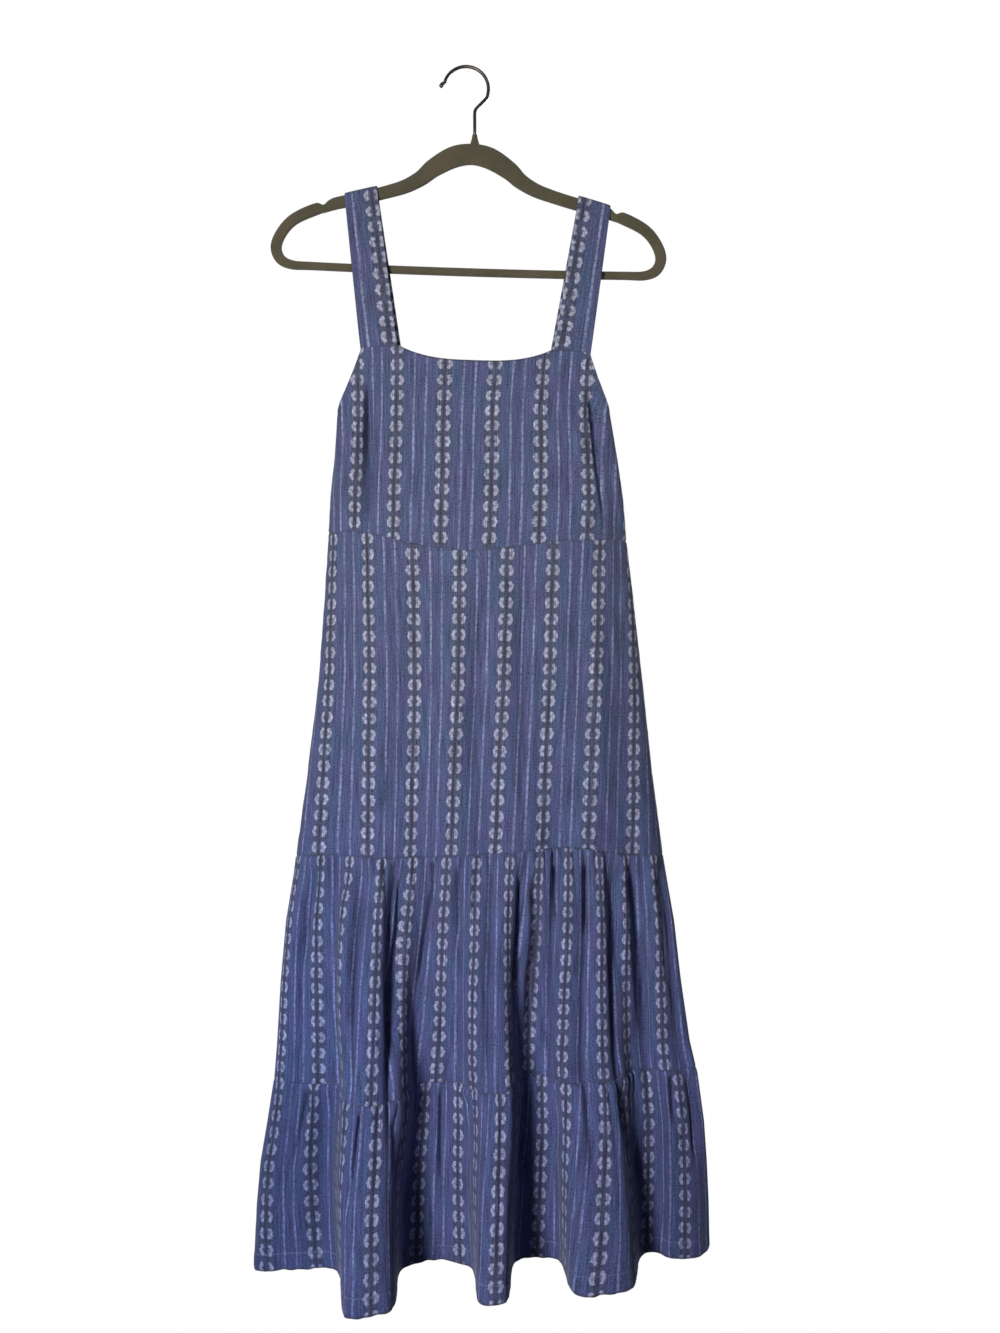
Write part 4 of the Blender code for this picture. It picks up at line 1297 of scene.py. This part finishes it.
def shaded(tree, colour):
    # Painted shade: the colour times a darker, bluer tint by height (more on the left than the right), and
    # times a darker tint at the two lower corners
    calc = partial(mathNode, tree)
    place = tree.nodes.new("ShaderNodeTexCoord")
    split = tree.nodes.new("ShaderNodeSeparateXYZ")
    tree.links.new(place.outputs["Object"], split.inputs[0])
    x, z = split.outputs[0], split.outputs[2]
    deep = mixed(tree, ramp(tree, x, *shade["across"]), shade["left"], shade["right"])
    colour = multiplied(tree, colour, mixed(tree, ramp(tree, z, *shade["down"]), (1.0, 1.0, 1.0), deep))
    out = ramp(tree, calc("ABSOLUTE", calc("SUBTRACT", x, shade["middle"])), *shade["cornerOut"])
    corner = calc("MULTIPLY", out, ramp(tree, z, *shade["cornerDown"]))
    return multiplied(tree, colour, mixed(tree, corner, (1.0, 1.0, 1.0), shade["corners"]))


def edgeMasks(tree, u):
    # Along the hem a row of stitches with gaps, and at a turned edge a thin dark line of painted shadow
    calc = partial(mathNode, tree)
    edge = tree.nodes.new("ShaderNodeAttribute")
    edge.attribute_name = "edge"
    offStitch = calc("ABSOLUTE", calc("SUBTRACT", edge.outputs["Fac"], cloth["stitchUp"]))
    gap = ramp(tree, offMultiple(tree, u, seamMarks["pitch"]), *seamMarks["gap"])
    stitch = calc("MULTIPLY", ramp(tree, offStitch, *seamMarks["stitch"]), gap)
    return stitch, ramp(tree, calc("ABSOLUTE", edge.outputs["Fac"]), *seamMarks["turned"])


def dobbyCloth():
    # Pairs of mirrored half flowers, dotted lines and a dark line on a streaked ground, laid out on
    # the cut coordinates, which wander a little by noise
    made, tree, shader = principled("dobbyCotton", weave)
    calc = partial(mathNode, tree)
    source = tree.nodes.new("ShaderNodeUVMap")
    source.uv_map = "cut"
    split = tree.nodes.new("ShaderNodeSeparateXYZ")
    tree.links.new(source.outputs[0], split.inputs[0])
    u, v = (calc("MULTIPLY", split.outputs[i], 1 / mm) for i in (0, 1))
    spots = partial(grain, tree, u, v)
    out = offMultiple(tree, calc("ADD", u, swung(tree, spots, "wobble")), repeat)
    weftAt = calc("ADD", v, swung(tree, spots, "bowed"))
    flower = flowerMask(tree, spots, out, offMultiple(tree, weftAt, weave["pitch"]))
    line = dottedLine(tree, spots, out, weftAt)
    colour = mixed(tree, line, groundColour(tree, spots, out), weave["thread"])
    worn = calc("MINIMUM", calc("MULTIPLY_ADD", spots("worn"), *weave["wear"]), 1.0)
    flower = calc("MULTIPLY", flower, worn)
    colour = mixed(tree, flower, colour, weave["flower"])
    # Painted light and shade of the crinkle: the colour lighter and darker by the same grain that raises its
    # relief; the streaks add their own tone
    streaks, crinkle = spots("streaks"), spots("crinkle")
    crinkleShading, start = weave["crinkleShading"]
    tone = calc("MULTIPLY_ADD", streaks, weave["streakTone"], start)
    colour = scaled(tree, colour, calc("MULTIPLY_ADD", crinkle, crinkleShading, tone))
    # Painted shade: darker and bluer towards the hem, and darker at the two lower corners
    colour = shaded(tree, colour)
    stitch, turned = edgeMasks(tree, u)
    colour = mixed(tree, calc("MULTIPLY", stitch, weave["shares"]["stitch"]), colour, weave["thread"])
    # Painted shadow: a thin dark line along the turned edges, at the neck, armholes and hem
    colour = mixed(tree, calc("MULTIPLY", turned, weave["shares"]["turned"]), colour, weave["dark"])
    tree.links.new(colour, shader.inputs["Base Color"])

    turns, high = weave["threads"]
    height = calc("MULTIPLY", *(calc("SINE", calc("MULTIPLY", along, turns)) for along in (u, v)))
    height = calc("MULTIPLY", height, high)
    masks = {"crinkle": crinkle, "streaks": streaks, "flower": flower, "line": line, "stitch": stitch}
    for name, amount in weave["relief"].items():
        height = calc("MULTIPLY_ADD", masks[name], amount, height)
    bumped(tree, shader, height, weave["reliefStrength"], 1.0)
    return made


def objectGrain(tree, scale, detail, seed):
    # Noise on object coordinates, spots about one over the scale in metres
    place = tree.nodes.new("ShaderNodeTexCoord")
    node = tree.nodes.new("ShaderNodeTexNoise")
    node.noise_dimensions = "4D"
    node.inputs["W"].default_value = seed
    node.inputs["Scale"].default_value = scale
    node.inputs["Detail"].default_value = detail
    tree.links.new(place.outputs["Object"], node.inputs["Vector"])
    return node.outputs["Fac"]


# Short velvet pile of the hanger, and the bronzed wire of its hook
pile = {
    "ground": (0.075, 0.068, 0.045),
    "olive": (0.066, 0.060, 0.036),
    "worn": (0.084, 0.070, 0.044),
    "roughness": 0.95,
    "sheen": 0.25,
    "sheenRough": 0.6,
    "gloss": 0.1,
    "speckle": (1800.0, 3.0, 1.0),  # spots in a metre, detail, seed
    "speckleTone": (0.8, 0.6),
    "patches": (22.0, 2.0, 5.0),
    "patchEdges": (0.4, 0.65),
    "relief": (0.5, 0.3),  # strength, depth
}
bronze = {
    "ground": (0.10, 0.082, 0.070),
    "dull": (0.075, 0.062, 0.055),
    "bright": (0.13, 0.105, 0.088),
    "roughness": 0.34,
    "metal": 0.85,
    "spots": (90.0, 2.0, 2.0),
    "spotEdges": (0.35, 0.7),
    "spotRough": (0.2, 0.30),
}


def flockedCore():
    # Dark olive speckle with soft worn patches, brighter at grazing angles by its sheen
    made, tree, shader = principled("flockedPile", pile)
    speckle = objectGrain(tree, *pile["speckle"])
    patches = ramp(tree, objectGrain(tree, *pile["patches"]), *pile["patchEdges"])
    colour = mixed(tree, patches, pile["olive"], pile["worn"])
    colour = scaled(tree, colour, mathNode(tree, "MULTIPLY_ADD", speckle, *pile["speckleTone"]))
    tree.links.new(colour, shader.inputs["Base Color"])
    bumped(tree, shader, speckle, *pile["relief"])
    return made


def bronzeWire():
    # Dark bronzed steel, half gloss, with dull spots
    made, tree, shader = principled("bronzedWire", bronze)
    spots = objectGrain(tree, *bronze["spots"])
    colour = mixed(tree, ramp(tree, spots, *bronze["spotEdges"]), bronze["dull"], bronze["bright"])
    tree.links.new(colour, shader.inputs["Base Color"])
    rough = mathNode(tree, "MULTIPLY_ADD", spots, *bronze["spotRough"])
    tree.links.new(rough, shader.inputs["Roughness"])
    return made


# The pieces
dobby, flock, wire = dobbyCloth(), flockedCore(), bronzeWire()
print("materials made")

# Flat size of each cut piece in metres, and its area where the flat size isn't filled
cuts = {
    "bodice": ((0.42, 0.25), 0.075),
    "skirt": ((0.52, 0.36), None),
    "upper": ((0.72, 0.26), None),
    "lower": ((0.96, 0.21), None),
    "strap": ((0.04, 0.41), None),
}

clothPieces = {}
for side, word in ((front, "front"), (back, "back")):
    above = ["strap_left", "strap_right"]
    bodicePiece, skirtPiece = makeBodice(side), makeSkirt(side)
    upperTier, lowerTier = makeTier("upper", side), makeTier("lower", side)
    clothPieces["bodice_" + word] = (bodicePiece, "hung", above, *cuts["bodice"])
    clothPieces["skirt_" + word] = (skirtPiece, "hung", ["bodice_" + word], *cuts["skirt"])
    clothPieces["tier_upper_" + word] = (upperTier, "gathered", ["skirt_" + word], *cuts["upper"])
    clothPieces["tier_lower_" + word] = (lowerTier, "gathered", ["tier_upper_" + word], *cuts["lower"])
for hand in ("left", "right"):
    clothPieces["strap_" + hand] = (makeStrap(hand), "hung", ["hanger_frame"], *cuts["strap"])
for node, (piece, held, above, flat, area) in clothPieces.items():
    piece.data.materials.append(dobby)
    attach(piece, "root")
    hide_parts(node)
print("cloth made:", ", ".join(clothPieces))

for piece, node, slot, finish in (
    (makeHanger(), "hanger_frame", "flock", flock),
    (makeCollar(), "hanger_frame", "flock", flock),
    (makeHook(), "hanger_hook", "wire", wire),
):
    piece.data.materials.append(finish)
    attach(piece, "root")
    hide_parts(node)
print("hanger made")

# The studio, in metres; the camera is level and looks along +Y
shot = {"place": (0.0382, -1.3, -0.6722), "lens": 31.25, "film": 36.0}
sky = {
    "seen": 1.0,  # brightness of the white that the camera sees behind the dress
    "front": 0.055,  # light from the camera's side of the room
    "back": 0.70,  # light from the wall behind the dress
    "turn": (0.05, 0.85),  # where it grows from the one to the other, as a share of straight back
    "colour": (0.90, 0.95, 1.12),
}
lamps = {  # place, the point that it looks at, size, power in watts, spread in degrees
    "key": ((-1.05, -2.20, -0.65), (0.0, 0.0, -0.75), 0.6, 68.5, 180.0),
    "back": ((1.15, 2.30, 0.10), (0.0, 0.0, -0.75), 0.9, 56.0, 180.0),
    "fill": ((1.00, -1.50, 0.15), (0.05, 0.0, -0.50), 0.5, 0.36, 34.0),
}
lampColour = (1.0, 0.985, 0.955)
paleFloor = {
    "ground": (0.90, 0.90, 0.89),
    "roughness": 0.9,
    "glow": 0.22,
    "down": -2.05,
    "radius": 1.0,
    "points": 96,
}


def makeFloor():
    # A round pale floor below the dress
    count = paleFloor["points"]
    turn = np.linspace(0, 2 * math.pi, count, endpoint=False)
    ring = np.column_stack((np.cos(turn), np.sin(turn), np.zeros(count))) * paleFloor["radius"]
    mesh = bpy.data.meshes.new("studioFloor")
    mesh.from_pydata((ring + (0, 0, paleFloor["down"])).tolist(), [], [tuple(range(count))])
    floor = bpy.data.objects.new("studioFloor", mesh)
    bpy.context.scene.collection.objects.link(floor)
    pale, _, shader = principled("paleFloor", paleFloor)
    shader.inputs["Emission Color"].default_value = (1.0, 1.0, 1.0, 1.0)
    shader.inputs["Emission Strength"].default_value = paleFloor["glow"]
    mesh.materials.append(pale)
    floor.visible_diffuse = False  # its light would fill the valleys between the folds


def makeLamp(name):
    # A soft round lamp that points at its part of the dress; a narrow spread keeps its light there
    place, aim, size, power, spread = lamps[name]
    lamp = bpy.data.lights.new(name + "Light", "AREA")
    lamp.shape, lamp.size, lamp.energy = "DISK", size, power
    lamp.color = lampColour
    lamp.spread = math.radians(spread)
    light = bpy.data.objects.new(name + "Light", lamp)
    bpy.context.scene.collection.objects.link(light)
    light.location = place
    toward = Vector(aim) - light.location
    light.rotation_euler = toward.to_track_quat("-Z", "Y").to_euler()


def makeSky():
    # Soft light from all round, stronger from behind; the camera sees plain white
    world = bpy.data.worlds.new("studioSky")
    world.use_nodes = True
    tree = world.node_tree
    light = tree.nodes["Background"]
    light.inputs[0].default_value = (*sky["colour"], 1.0)
    place = tree.nodes.new("ShaderNodeTexCoord")
    split = tree.nodes.new("ShaderNodeSeparateXYZ")
    tree.links.new(place.outputs["Generated"], split.inputs[0])
    behind = ramp(tree, split.outputs[1], *sky["turn"])
    strength = mathNode(tree, "MULTIPLY_ADD", behind, sky["back"] - sky["front"], sky["front"])
    tree.links.new(strength, light.inputs[1])
    white = tree.nodes.new("ShaderNodeBackground")
    white.inputs[0].default_value = (1.0, 1.0, 1.0, 1.0)
    white.inputs[1].default_value = sky["seen"]
    seen = tree.nodes.new("ShaderNodeLightPath")
    both = tree.nodes.new("ShaderNodeMixShader")
    tree.links.new(seen.outputs["Is Camera Ray"], both.inputs[0])
    tree.links.new(light.outputs[0], both.inputs[1])
    tree.links.new(white.outputs[0], both.inputs[2])
    tree.links.new(both.outputs[0], tree.nodes["World Output"].inputs["Surface"])
    bpy.context.scene.world = world


makeFloor()
for name in lamps:
    makeLamp(name)
makeSky()
bpy.context.scene.view_settings.view_transform = "Standard"

lens = bpy.data.cameras.new("studioCamera")
lens.lens, lens.sensor_width = shot["lens"], shot["film"]
camera = bpy.data.objects.new("studioCamera", lens)
bpy.context.scene.collection.objects.link(camera)
camera.location = shot["place"]
camera.rotation_euler = (math.radians(90), 0, 0)
bpy.context.scene.camera = camera
print("studio ready")
